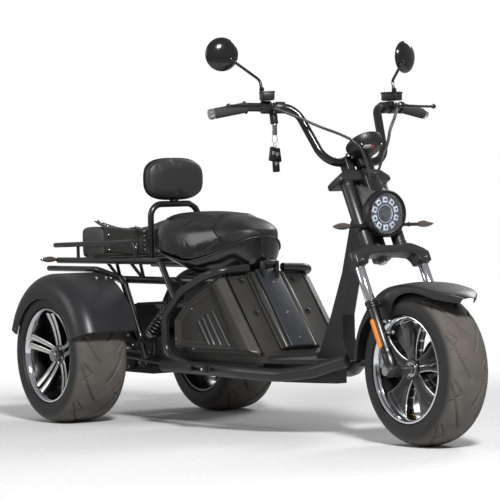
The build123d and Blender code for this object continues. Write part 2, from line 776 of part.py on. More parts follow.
slant_top = (752, 528)
slant_foot = (962, 272)
cover_half = 48
cover_depth = 26
edge_side = 58
edge_radius = 11
hinge_ahead = 790
hinge_height = 557
hinge_pin_radius = 5
hinge_knuckle_radius = 10
hinge_half = 20
hinge_gap = 2
hinge_lug = 12
slant_x, slant_z = slant_foot[0] - slant_top[0], slant_top[1] - slant_foot[1]
slant_length = Vector(slant_x, slant_z, 0).length
normal = (slant_z / slant_length, slant_x / slant_length)
with BuildPart() as front_cover:
    lift = (normal[0] * cover_depth, normal[1] * cover_depth)
    slab([(ahead(slant_top[0]), slant_top[1]), (ahead(slant_top[0] + lift[0]), slant_top[1] + lift[1]),
          (ahead(slant_foot[0] + lift[0]), slant_foot[1] + lift[1]), (ahead(slant_foot[0]), slant_foot[1])],
         -cover_half, cover_half)
    for side_name, sign in sides:
        rod((ahead(slant_top[0] + 18), sign * edge_side, slant_top[1] - 4),
            (ahead(slant_foot[0] + 8), sign * edge_side, slant_foot[1] + 8), edge_radius)
        low = min(sign * (hinge_half + hinge_gap), sign * (hinge_half + hinge_gap + hinge_lug))
        slab([(ahead(hinge_ahead - 12), hinge_height + 8), (ahead(hinge_ahead + 12), hinge_height + 8),
              (ahead(hinge_ahead + 12), hinge_height - 82), (ahead(hinge_ahead - 12), hinge_height - 68)],
             low, low + hinge_lug)
    rod((ahead(hinge_ahead), -hinge_half - hinge_gap - hinge_lug, hinge_height),
        (ahead(hinge_ahead), hinge_half + hinge_gap + hinge_lug, hinge_height), hinge_pin_radius)
    cut_by(battery_case, *side_loops.values())
save(front_cover, "front_cover")

# Belly pan under the case, and the deck between the case and the neck
pan_bottom = 172
pan_top = neck_foot
deck_thickness = 14
with BuildPart() as belly_pan:
    with BuildSketch(Plane.XY.offset(pan_bottom)):
        Polygon((ahead(850), -95), (ahead(1000), -90), (ahead(1110), -55), (ahead(1190), -20),
                (ahead(1190), 20), (ahead(1110), 55), (ahead(1000), 90), (ahead(850), 95), align=None)
    extrude(amount=pan_top - pan_bottom)
    with BuildSketch(Plane.XY.offset(pan_top - 10)):
        with Locations(((ahead(456) + ahead(962)) / 2, 0)):
            Rectangle(962 - 456, 2 * case_half)
    extrude(amount=10)
    cut_by(main_frame)
save(belly_pan, "belly_pan")

with BuildPart() as deck:
    with BuildSketch(Plane.XY.offset(pan_top)):
        Polygon((ahead(case_toe), -150), (ahead(1040), -136), (ahead(1150), -82), (ahead(1190), -58),
                (ahead(1190), 58), (ahead(1150), 82), (ahead(1040), 136), (ahead(case_toe), 150),
                align=None)
    extrude(amount=deck_thickness)
    cut_by(main_frame, front_cover, *side_loops.values())
save(deck, "deck")

# Folded passenger footpegs outside the lower tubes
with BuildPart() as footpegs:
    for side_name, sign in sides:
        with Locations((ahead(707), sign * 227, 212)):
            Box(104, 44, 26)
    cut_by(main_frame, *side_loops.values())
save(footpegs, "footpegs")

# Backrest: a hoop on the rack's front cross tube, with a post into the pad
hoop_ahead = 200
hoop_half = 98
hoop_height = 762
hoop_radius = 11
pad_low = 777
pad_high = 924
pad_half = 121
pad_thickness = 60
pad_corner = 45
with BuildPart() as backrest_hoop:
    tube([(ahead(hoop_ahead), -hoop_half, rack_height), (ahead(hoop_ahead), -hoop_half, hoop_height),
          (ahead(hoop_ahead), hoop_half, hoop_height), (ahead(hoop_ahead), hoop_half, rack_height)],
         45, hoop_radius)
    rod((ahead(hoop_ahead), 0, hoop_height), (ahead(hoop_ahead), 0, pad_low - soft_gap), 9)
    cut_by(rear_truss)
save(backrest_hoop, "backrest_hoop")

with BuildPart() as backrest_pad:
    with BuildSketch(Plane(origin=(ahead(hoop_ahead) - pad_thickness / 2, 0, (pad_low + pad_high) / 2),
                           x_dir=(0, 1, 0), z_dir=(1, 0, 0))):
        RectangleRounded(2 * pad_half, pad_high - pad_low, pad_corner)
    extrude(amount=pad_thickness)
    fillet(edges().filter_by(GeomType.LINE, reverse=False).group_by(Axis.X)[0], 16)
save(backrest_pad, "backrest_pad")

# Tail bag on the platform behind the backrest
bag_back = -186
bag_front = -18
bag_half = 170
bag_low = rack_height + platform_radius + soft_gap
bag_high = 690
with BuildPart() as tail_bag:
    slab([(ahead(bag_back), bag_low), (ahead(bag_back), bag_high - 26), (ahead(bag_back + 20), bag_high),
          (ahead(bag_front - 30), bag_high), (ahead(bag_front), bag_high - 22), (ahead(bag_front), bag_low)],
         -bag_half, bag_half)
save(tail_bag, "tail_bag")

# Tail lamp in the middle of the rack's rear, with a turn signal each side
with BuildPart() as tail_lamps:
    with Locations((ahead((-rear_reach + rack_rear + 3) / 2), 0, 566)):
        Box(rear_reach + rack_rear + 3, 110, 40)
    for side_name, sign in sides:
        rod((ahead(-318), sign * 40, 567), (ahead(-318), sign * 190, 567), 5)
        rod((ahead(-318), sign * 190, 568), (ahead(-318), sign * 262, 570), 12)
    cut_by(rear_truss)
save(tail_lamps, "tail_lamps")

# Seat: pan and cushion, one above the other, lifting on the front hinge
seat_line = [(262, 618), (390, 592), (525, 563), (640, 581), (705, 603), (745, 640), (775, 643)]
seat_bottom = [(770, 600), (760, 560), (745, 534), (700, 520), (560, 514), (480, 522), (430, 560),
               (330, 594), (262, 606)]
seat_top = [(775, 655), (745, 690), (690, 714), (600, 724), (480, 732), (330, 730), (270, 712),
            (232, 665)]
seat_crown = [(-190, 480), (-190, 560), (-178, 660), (-140, 712), (-70, 732), (70, 732), (140, 712),
              (178, 660), (190, 560), (190, 480)]


def trim_to_plan():
    """Keep only what lies inside the seat's plan outline and crown."""
    with BuildSketch(Plane.XY.offset(480)) as plan:
        with BuildLine():
            ThreePointArc((ahead(350), -172), (ahead(236), 0), (ahead(350), 172))
            Line((ahead(350), 172), (ahead(460), 172))
            ThreePointArc((ahead(460), 172), (ahead(560), 155), (ahead(650), 122))
            ThreePointArc((ahead(650), 122), (ahead(765), 0), (ahead(650), -122))
            ThreePointArc((ahead(650), -122), (ahead(560), -155), (ahead(460), -172))
            Line((ahead(460), -172), (ahead(350), -172))
        make_face()
    extrude(plan.sketch, amount=300, mode=Mode.INTERSECT)
    with BuildSketch(Plane(origin=(ahead(200), 0, 0), x_dir=(0, 1, 0), z_dir=(1, 0, 0))) as crown:
        Polygon(*seat_crown, align=None)
    extrude(crown.sketch, amount=650, mode=Mode.INTERSECT)


with BuildPart() as seat_pan:
    slab([(ahead(x), z) for x, z in seat_line + seat_bottom], -180, 180)
    trim_to_plan()
    slab([(ahead(700), hinge_height - 6), (ahead(700), hinge_height + 6), (ahead(hinge_ahead), hinge_height + 6),
          (ahead(hinge_ahead), hinge_height - 6)],
         -hinge_half, hinge_half)
    rod((ahead(hinge_ahead), -hinge_half, hinge_height), (ahead(hinge_ahead), hinge_half, hinge_height),
        hinge_knuckle_radius)
    with BuildSketch(side_plane(hinge_half)) as bore:
        with Locations((ahead(hinge_ahead), hinge_height)):
            Circle(hinge_pin_radius + bearing_gap)
    extrude(bore.sketch, amount=2 * hinge_half, mode=Mode.SUBTRACT)
save(seat_pan, "seat_pan")

with BuildPart() as seat_cushion:
    slab([(ahead(x), z + soft_gap) for x, z in seat_line] + [(ahead(x), z) for x, z in seat_top], -180, 180)
    trim_to_plan()
save(seat_cushion, "seat_cushion")
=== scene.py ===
"""Looks of a three-wheeled electric scooter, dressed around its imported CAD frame."""

from __future__ import annotations

import json
import logging
import math
from dataclasses import dataclass, field
from enum import Enum
from typing import Callable, Iterable, Sequence

import bmesh
import bpy
from mathutils import Matrix, Vector

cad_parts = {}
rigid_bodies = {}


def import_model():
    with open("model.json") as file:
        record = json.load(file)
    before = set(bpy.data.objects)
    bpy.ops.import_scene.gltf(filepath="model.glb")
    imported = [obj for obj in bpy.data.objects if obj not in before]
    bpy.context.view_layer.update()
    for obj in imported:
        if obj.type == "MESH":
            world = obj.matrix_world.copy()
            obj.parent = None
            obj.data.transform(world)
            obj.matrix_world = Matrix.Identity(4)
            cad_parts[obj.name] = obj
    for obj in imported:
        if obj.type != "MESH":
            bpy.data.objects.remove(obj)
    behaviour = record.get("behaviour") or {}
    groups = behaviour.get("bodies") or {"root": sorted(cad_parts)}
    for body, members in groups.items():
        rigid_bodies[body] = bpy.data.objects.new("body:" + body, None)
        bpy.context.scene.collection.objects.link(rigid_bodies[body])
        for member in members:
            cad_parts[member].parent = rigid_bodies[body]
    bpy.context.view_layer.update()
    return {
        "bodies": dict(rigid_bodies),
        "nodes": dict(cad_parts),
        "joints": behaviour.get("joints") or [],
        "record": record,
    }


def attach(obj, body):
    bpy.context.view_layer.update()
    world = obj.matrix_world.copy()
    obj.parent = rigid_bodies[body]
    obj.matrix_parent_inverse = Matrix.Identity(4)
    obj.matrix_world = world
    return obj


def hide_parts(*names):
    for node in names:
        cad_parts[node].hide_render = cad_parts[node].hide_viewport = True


log = logging.getLogger("scooter")

# Layout in metres: +X forward, +Y the rider's left, +Z up, origin under the middle
ORIGIN_AHEAD = 0.769
WHEEL_RADIUS = 0.239
WHEELBASE = 1.630
REAR_TRACK = 0.642
RAKE = math.radians(27)
FORK_OFFSET = 0.034
LEAN = math.sin(RAKE)
RISE = math.cos(RAKE)
SEAT_HINGE = (0.790, 0, 0.557)
FENDER_BOLTS_UP = (0.155, 0.118)
SIDES = (("right", -1), ("left", 1))
Point = Sequence[float]


def at(ahead: float, side: float, height: float) -> Vector:
    """Place from its distance ahead of the rear axle, its side and its height."""
    return Vector((ahead - ORIGIN_AHEAD, side, height))


def on_steer(up: float, out: float, side: float = 0.0) -> Vector:
    """Place so far up the steering axis, so far out ahead of it and so far to its left."""
    foot = Vector((WHEELBASE - ORIGIN_AHEAD - FORK_OFFSET * RISE, 0, WHEEL_RADIUS - FORK_OFFSET * LEAN))
    return foot + Vector((-LEAN * up + RISE * out, side, RISE * up + LEAN * out))


def frame_at(origin: Point, z_dir: Point, x_dir: Point = (0, 1, 0)) -> Matrix:
    """Frame at a place, from its z direction and a hint for its x direction.

    Args:
        origin: Place of the frame.
        z_dir: Direction of its z.
        x_dir: Direction that its x leans towards.

    Returns:
        The frame as a 4 by 4 matrix.
    """
    z = Vector(z_dir).normalized()
    x = Vector(x_dir)
    x = (x - z * x.dot(z)).normalized()
    y = z.cross(x)
    rotation = Matrix((x, y, z)).transposed().to_4x4()
    return Matrix.Translation(Vector(origin)) @ rotation


FACE_DIRECTION = (RISE, 0, LEAN)


def smoothstep(value: float, low: float, high: float) -> float:
    """Smooth rise from 0 at low to 1 at high."""
    t = min(1.0, max(0.0, (value - low) / (high - low)))
    return t * t * (3 - 2 * t)


def along_line(table: Sequence[Point], value: float, column: int) -> float:
    """Read a column of a short table at a value of its first column, on an even curve."""
    if value <= table[0][0]:
        return table[0][column]
    for index in range(len(table) - 1):
        low, high = table[index], table[index + 1]
        if value <= high[0]:
            before = table[max(0, index - 1)]
            after = table[min(len(table) - 1, index + 2)]
            width = high[0] - low[0]
            t = (value - low[0]) / width
            tangent_low = (high[column] - before[column]) / (high[0] - before[0]) * width
            tangent_high = (after[column] - low[column]) / (after[0] - low[0]) * width
            return ((2 * t ** 3 - 3 * t ** 2 + 1) * low[column] + (t ** 3 - 2 * t ** 2 + t) * tangent_low
                    + (3 * t ** 2 - 2 * t ** 3) * high[column] + (t ** 3 - t ** 2) * tangent_high)
    return table[-1][column]


def turns(count: int, first: float = 0.0) -> list[float]:
    """Even turns round a circle, from a first one in degrees."""
    return [math.radians(first + 360 * index / count) for index in range(count)]


def eased(low: float, high: float, count: int) -> list[float]:
    """Values from low to high, closer together near both ends."""
    return [low + (high - low) * (1 - math.cos(math.pi * index / (count - 1))) / 2 for index in range(count)]


class Body(str, Enum):
    """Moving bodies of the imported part."""

    CHASSIS = "chassis"
    STEERING = "steering"
    FRONT_WHEEL = "front_wheel"
    REAR_WHEEL_RIGHT = "rear_wheel_right"
    REAR_WHEEL_LEFT = "rear_wheel_left"
    SEAT = "seat"


# Shader maths


class Wire:
    """A shader socket or number with Python's arithmetic."""

    def __init__(self, shader: Shader, socket: bpy.types.NodeSocket) -> None:
        self.shader = shader
        self.socket = socket

    def _math(self, operation: str, *values: Wire | float) -> Wire:
        """Add a Math node on these values."""
        return self.shader.node("ShaderNodeMath", {"operation": operation}, dict(enumerate(values)))

    def __add__(self, other: Wire | float) -> Wire:
        """Sum."""
        return self._math("ADD", self, other)

    __radd__ = __add__

    def __rsub__(self, other: Wire | float) -> Wire:
        """Difference from a number."""
        return self._math("SUBTRACT", other, self)

    def __mul__(self, other: Wire | float) -> Wire:
        """Product."""
        return self._math("MULTIPLY", self, other)

    __rmul__ = __mul__

    def power(self, exponent: float) -> Wire:
        """Power."""
        return self._math("POWER", self, exponent)

    def sine(self) -> Wire:
        """Sine."""
        return self._math("SINE", self)

    def clamp(self, low: float, high: float) -> Wire:
        """Keep between two numbers."""
        return self._math("MINIMUM", self._math("MAXIMUM", self, low), high)


class Shader:
    """A material's node tree, with short ways to add what the finishes use."""

    def __init__(self, name: str) -> None:
        self.material = bpy.data.materials.new(name)
        self.material.use_nodes = True
        self.tree = self.material.node_tree
        self.surface = self.tree.nodes["Principled BSDF"]

    def node(self, kind: str, settings: dict | None = None, inputs: dict | None = None,
             output: int | str = 0) -> Wire:
        """Add a node.

        Args:
            kind: The node's type.
            settings: Properties that are set first, and a ramp's stops under "stops".
            inputs: Values or wires by socket name or number.
            output: The output that the wire is taken from.

        Returns:
            The wire from that output.
        """
        node = self.tree.nodes.new(kind)
        for key, value in (settings or {}).items():
            if key == "stops":
                ramp = node.color_ramp
                for index, (position, colour) in enumerate(value):
                    stop = ramp.elements[index] if index < 2 else ramp.elements.new(position)
                    stop.position = position
                    stop.color = (*colour, 1) if len(colour) == 3 else colour
            else:
                setattr(node, key, value)
        for key, value in (inputs or {}).items():
            self.feed(node.inputs[key], value)
        return Wire(self, node.outputs[output])

    def feed(self, socket: bpy.types.NodeSocket, value: Wire | float | Point) -> None:
        """Link a wire to a socket, or set the socket's own value."""
        if isinstance(value, Wire):
            self.tree.links.new(value.socket, socket)
        else:
            socket.default_value = value

    def set(self, **values: Wire | float | Point) -> None:
        """Set or link the surface's sockets, named with underscores for spaces."""
        for key, value in values.items():
            name = key.replace("_", " ")
            if isinstance(value, tuple) and len(value) == 3 and "Normal" not in name:
                value = (*value, 1)
            self.feed(self.surface.inputs[name], value)

    def place(self, scale: Point = (1, 1, 1), centre: Point = (0, 0, 0)) -> Wire:
        """Object coordinates, moved to a centre and scaled."""
        coords = self.node("ShaderNodeTexCoord", output="Object")
        moved = self.node("ShaderNodeVectorMath", {"operation": "SUBTRACT"}, {0: coords, 1: tuple(centre)})
        return self.node("ShaderNodeMapping", None, {"Vector": moved, "Scale": scale})

    def noise(self, scale: float, detail: float = 3, coords: Wire | None = None) -> Wire:
        """Noise from 0 to 1."""
        return self.node("ShaderNodeTexNoise", None,
                         {"Vector": coords or self.place(), "Scale": scale, "Detail": detail}, "Fac")

    def cells(self, scale: float, feature: str = "F1") -> Wire:
        """Distance in a pattern of cells."""
        return self.node("ShaderNodeTexVoronoi", {"feature": feature},
                         {"Vector": self.place(), "Scale": scale}, "Distance")

    def axes(self, coords: Wire) -> tuple[Wire, Wire, Wire]:
        """Split coordinates into their three parts."""
        node = self.tree.nodes.new("ShaderNodeSeparateXYZ")
        self.feed(node.inputs[0], coords)
        return tuple(Wire(self, node.outputs[index]) for index in range(3))

    def blend(self, mask: Wire, low: Point | Wire, high: Point | Wire) -> Wire:
        """Mix two colours by a mask."""
        low = low if isinstance(low, Wire) else (*low, 1)
        high = high if isinstance(high, Wire) else (*high, 1)
        return self.node("ShaderNodeMix", {"data_type": "RGBA"}, {0: mask, 6: low, 7: high}, 2)

    def band(self, value: Wire, low: float, high: float) -> Wire:
        """Rise from 0 at low to 1 at high."""
        return self.node("ShaderNodeMapRange", {"interpolation_type": "SMOOTHSTEP"},
                         {"Value": value, "From Min": low, "From Max": high})

    def bump(self, height: Wire, depth: float) -> None:
        """Bump the surface by a height."""
        self.set(Normal=self.node("ShaderNodeBump", None,
                                  {"Height": height, "Distance": depth, "Strength": 1.0}))


@dataclass(frozen=True)
class Finish:
    """A surface's finish. Subclasses fill in the shader."""

    name: str
    colour: Point = (0.03, 0.03, 0.03)
    roughness: float = 0.4

    def dress(self, shader: Shader) -> None:
        """Fill in the shader's sockets."""
        shader.set(Base_Color=tuple(self.colour), Roughness=self.roughness)

    def material(self) -> bpy.types.Material:
        """The finish's material, made once."""
        found = bpy.data.materials.get(self.name)
        if found is None:
            shader = Shader(self.name)
            self.dress(shader)
            found = shader.material
        return found


@dataclass(frozen=True)
class Paint(Finish):
    """Sprayed paint or moulded plastic: faint mottling, orange peel and a little dust."""

    coat: float = 0.0
    dust: float = 0.12
    peel: float = 0.00002
    metallic: float = 0.0
    peel_scale: float = 700.0

    def dress(self, shader: Shader) -> None:
        """Fill in the shader's sockets."""
        cloud = shader.noise(9, 5)
        speck = shader.noise(160, 2)
        pale = tuple(min(1.0, c * 1.35 + 0.006 * self.dust) for c in self.colour)
        mask = (cloud * 0.7 + speck * 0.3).clamp(0, 1)
        shader.set(Base_Color=shader.blend(mask, tuple(c * 0.8 for c in self.colour), pale),
                   Roughness=(cloud * 0.18 + speck * 0.06 + (self.roughness - 0.12)).clamp(0.03, 1),
                   Metallic=self.metallic, Coat_Weight=self.coat, Coat_Roughness=0.12)
        shader.bump(shader.noise(self.peel_scale, 2), self.peel)


@dataclass(frozen=True)
class Metal(Finish):
    """Bare or plated metal with fine brushing along one axis."""

    brushing: Point = (40, 900, 900)
    depth: float = 0.00001

    def dress(self, shader: Shader) -> None:
        """Fill in the shader's sockets."""
        lines = shader.noise(1, 3, shader.place(self.brushing))
        cloud = shader.noise(14, 4)
        shader.set(Base_Color=shader.blend(cloud, tuple(c * 0.85 for c in self.colour), self.colour),
                   Roughness=(lines * 0.1 + cloud * 0.08 + (self.roughness - 0.09)).clamp(0.02, 1),
                   Metallic=1.0)
        shader.bump(lines, self.depth)


@dataclass(frozen=True)
class TyreRubber(Finish):
    """Tyre: dusty grey-brown where it rolls, dark on the sidewalls."""

    centre: Point = (0, 0, 0)
    tread: Point = (0.085, 0.075, 0.066)
    tread_from: float = 0.205
    tread_to: float = 0.226

    def dress(self, shader: Shader) -> None:
        """Fill in the shader's sockets."""
        x, _, z = shader.axes(shader.place(centre=self.centre))
        radius = (x * x + z * z).power(0.5)
        worn = shader.band(radius, self.tread_from, self.tread_to)
        cloud = shader.noise(22, 6)
        blotch = shader.band(shader.noise(7, 3), 0.45, 0.75)
        speck = shader.band(shader.noise(420, 2), 0.55, 0.75)
        dirty = shader.blend(cloud, tuple(c * 0.55 for c in self.tread), tuple(c * 1.35 for c in self.tread))
        dirty = shader.blend(blotch * 0.5, dirty, (0.034, 0.031, 0.029))
        shader.set(Base_Color=shader.blend(worn * (1 - speck * 0.35), self.colour, dirty),
                   Roughness=(worn * 0.18 + cloud * 0.12 + (self.roughness - 0.05)).clamp(0.2, 0.95))
        shader.bump(shader.noise(520, 3) + cloud * 0.6, 0.00035)


@dataclass(frozen=True)
class Vinyl(Finish):
    """Seat vinyl or leather: a fine pebbled grain and soft creases."""

    grain: float = 420.0
    depth: float = 0.00018
    coat: float = 0.0

    def dress(self, shader: Shader) -> None:
        """Fill in the shader's sockets."""
        pebble = shader.cells(self.grain)
        crease = shader.cells(self.grain / 5, feature="SMOOTH_F1")
        cloud = shader.noise(11, 5)
        shader.set(Base_Color=shader.blend(cloud, tuple(c * 0.75 for c in self.colour),
                                           tuple(c * 1.4 + 0.001 for c in self.colour)),
                   Roughness=(pebble * 0.1 + cloud * 0.12 + (self.roughness - 0.11)).clamp(0.05, 1),
                   Coat_Weight=self.coat, Coat_Roughness=0.08)
        shader.bump(pebble * 0.8 + crease * 0.5, self.depth)


@dataclass(frozen=True)
class Knurl(Finish):
    """Rubber with rows of small ribs along one axis."""

    pitch: float = 0.004
    axis: int = 1

    def dress(self, shader: Shader) -> None:
        """Fill in the shader's sockets."""
        parts = shader.axes(shader.place())
        ribs = (parts[self.axis] * (2 * math.pi / self.pitch)).sine()
        cloud = shader.noise(60, 4)
        shader.set(Base_Color=shader.blend(cloud, self.colour, tuple(c * 1.7 for c in self.colour)),
                   Roughness=(cloud * 0.15 + (self.roughness - 0.08)).clamp(0, 1))
        shader.bump(ribs, 0.0006)


@dataclass(frozen=True)
class Lens(Finish):
    """Clear or coloured plastic lens."""

    transmission: float = 1.0
    glow: float = 0.0

    def dress(self, shader: Shader) -> None:
        """Fill in the shader's sockets."""
        shader.set(Base_Color=tuple(self.colour), Roughness=self.roughness, IOR=1.49,
                   Transmission_Weight=self.transmission, Coat_Weight=0.4, Coat_Roughness=0.03,
                   Emission_Color=tuple(self.colour), Emission_Strength=self.glow)
        shader.bump(shader.noise(260, 2), 0.00002)


class Finishes:
    """All finishes of the scooter, by what they cover."""

    FRAME = Paint("frame_satin_black", (0.009, 0.0088, 0.0085), 0.34, peel=0.00003)
    GLOSS_TUBE = Paint("tube_gloss_black", (0.006, 0.006, 0.0065), 0.24, coat=0.25)
    PANEL = Paint("panel_satin_charcoal", (0.046, 0.0435, 0.0405), 0.38, metallic=0.55, peel=0.00003)
    COVER = Paint("cover_satin_slate", (0.034, 0.037, 0.043), 0.34, metallic=0.5)
    FENDER = Paint("fender_satin_charcoal", (0.02, 0.0205, 0.0225), 0.38, metallic=0.3)
    FRONT_FENDER = Paint("front_fender_satin_black", (0.009, 0.0095, 0.011), 0.4)
    CASTING = Paint("casting_gunmetal", (0.042, 0.0405, 0.0395), 0.34, metallic=0.6, peel=0.00005)
    LEG = Metal("fork_leg_gunmetal", (0.07, 0.068, 0.066), 0.34, (600, 600, 60))
    CHROME = Metal("polished_chrome", (0.72, 0.74, 0.78), 0.09, (500, 500, 40), 0.000003)
    MACHINED = Metal("machined_alloy", (0.66, 0.65, 0.63), 0.24, (300, 900, 300))
    STEEL = Metal("nut_steel", (0.5, 0.5, 0.51), 0.28)
    GOLD = Metal("valve_brass", (0.62, 0.42, 0.14), 0.25)
    RIM_BLACK = Paint("rim_gloss_black", (0.005, 0.005, 0.006), 0.2, coat=0.5, dust=0.05)
    DRIVE = Paint("drive_dull_black", (0.012, 0.012, 0.012), 0.5, peel=0.0003, peel_scale=260)
    PLASTIC = Paint("plastic_satin_black", (0.007, 0.007, 0.0075), 0.38, peel=0.00004)
    PLASTIC_GLOSS = Paint("plastic_gloss_black", (0.004, 0.004, 0.0045), 0.16, coat=0.4, dust=0.04)
    BAR = Paint("bar_gloss_graphite", (0.016, 0.016, 0.017), 0.2, metallic=0.5, coat=0.3)
    WING = Paint("shroud_wing_grey", (0.12, 0.12, 0.118), 0.32, metallic=0.6)
    GRIP = Knurl("grip_rubber", (0.012, 0.012, 0.012), 0.55)
    DECK = Knurl("deck_rubber", (0.01, 0.01, 0.01), 0.6, pitch=0.012)
    SEAT = Vinyl("seat_vinyl_gloss", (0.0035, 0.0035, 0.0042), 0.2, coat=0.25)
    SEAT_MATT = Vinyl("seat_vinyl_matt", (0.010, 0.0102, 0.011), 0.42)
    PAD = Vinyl("backrest_vinyl", (0.014, 0.014, 0.0145), 0.46)
    BAG = Vinyl("bag_leather", (0.007, 0.007, 0.0072), 0.34, grain=260, depth=0.0003, coat=0.1)
    # The flap is the bag's leather in a paler copy: the paler tone is painted light on its lit top and front.
    FLAP_PAINTED_LIGHT = Vinyl("bag_flap_painted_light", (0.024, 0.0235, 0.022), 0.42, grain=260, depth=0.0003)
    # The amber reflector's glow is painted light: a reflector gives no light of its own.
    AMBER = Lens("reflector_amber_painted_glow", (0.85, 0.24, 0.02), 0.25, transmission=0.15, glow=0.12)
    RED = Lens("lens_red", (0.6, 0.015, 0.01), 0.15, transmission=0.3, glow=0.05)
    SMOKE = Lens("lens_smoked", (0.1, 0.075, 0.065), 0.08, transmission=0.35)
    CLEAR = Lens("lens_clear", (0.9, 0.94, 1.0), 0.02)
    MIRROR = Metal("mirror_silver", (0.86, 0.88, 0.9), 0.02, depth=0.0)
    LED = Lens("led_window", (0.82, 0.85, 0.88), 0.12, transmission=0.1, glow=0.12)
    LABEL = Paint("blank_label_silver", (0.5, 0.5, 0.5), 0.4)
    WRAP = Paint("cable_wrap_grey", (0.07, 0.07, 0.072), 0.42)
    WIRE_RED = Paint("wire_red", (0.5, 0.03, 0.02), 0.4)


# Mesh making


def smooth_curve(points: Sequence[Point], resolution: int, cyclic: bool = False) -> bpy.types.Curve:
    """Curve of one smooth line.

    Args:
        points: Control points of the line.
        resolution: Steps between them.
        cyclic: Whether the line closes.

    Returns:
        The curve, with no thickness.
    """
    curve = bpy.data.curves.new("line", "CURVE")
    curve.dimensions = "3D"
    curve.resolution_u = resolution
    spline = curve.splines.new("NURBS")
    spline.points.add(len(points) - 1)
    for point, place in zip(spline.points, points):
        point.co = (*place, 1)
    spline.use_cyclic_u = cyclic
    spline.use_endpoint_u = not cyclic
    spline.order_u = 3
    return curve


def curve_mesh(curve: bpy.types.Curve) -> bpy.types.Mesh:
    """Turn a curve into its mesh, and remove the curve."""
    holder = bpy.data.objects.new("line", curve)
    mesh = bpy.data.meshes.new_from_object(holder)
    bpy.data.objects.remove(holder)
    bpy.data.curves.remove(curve)
    return mesh


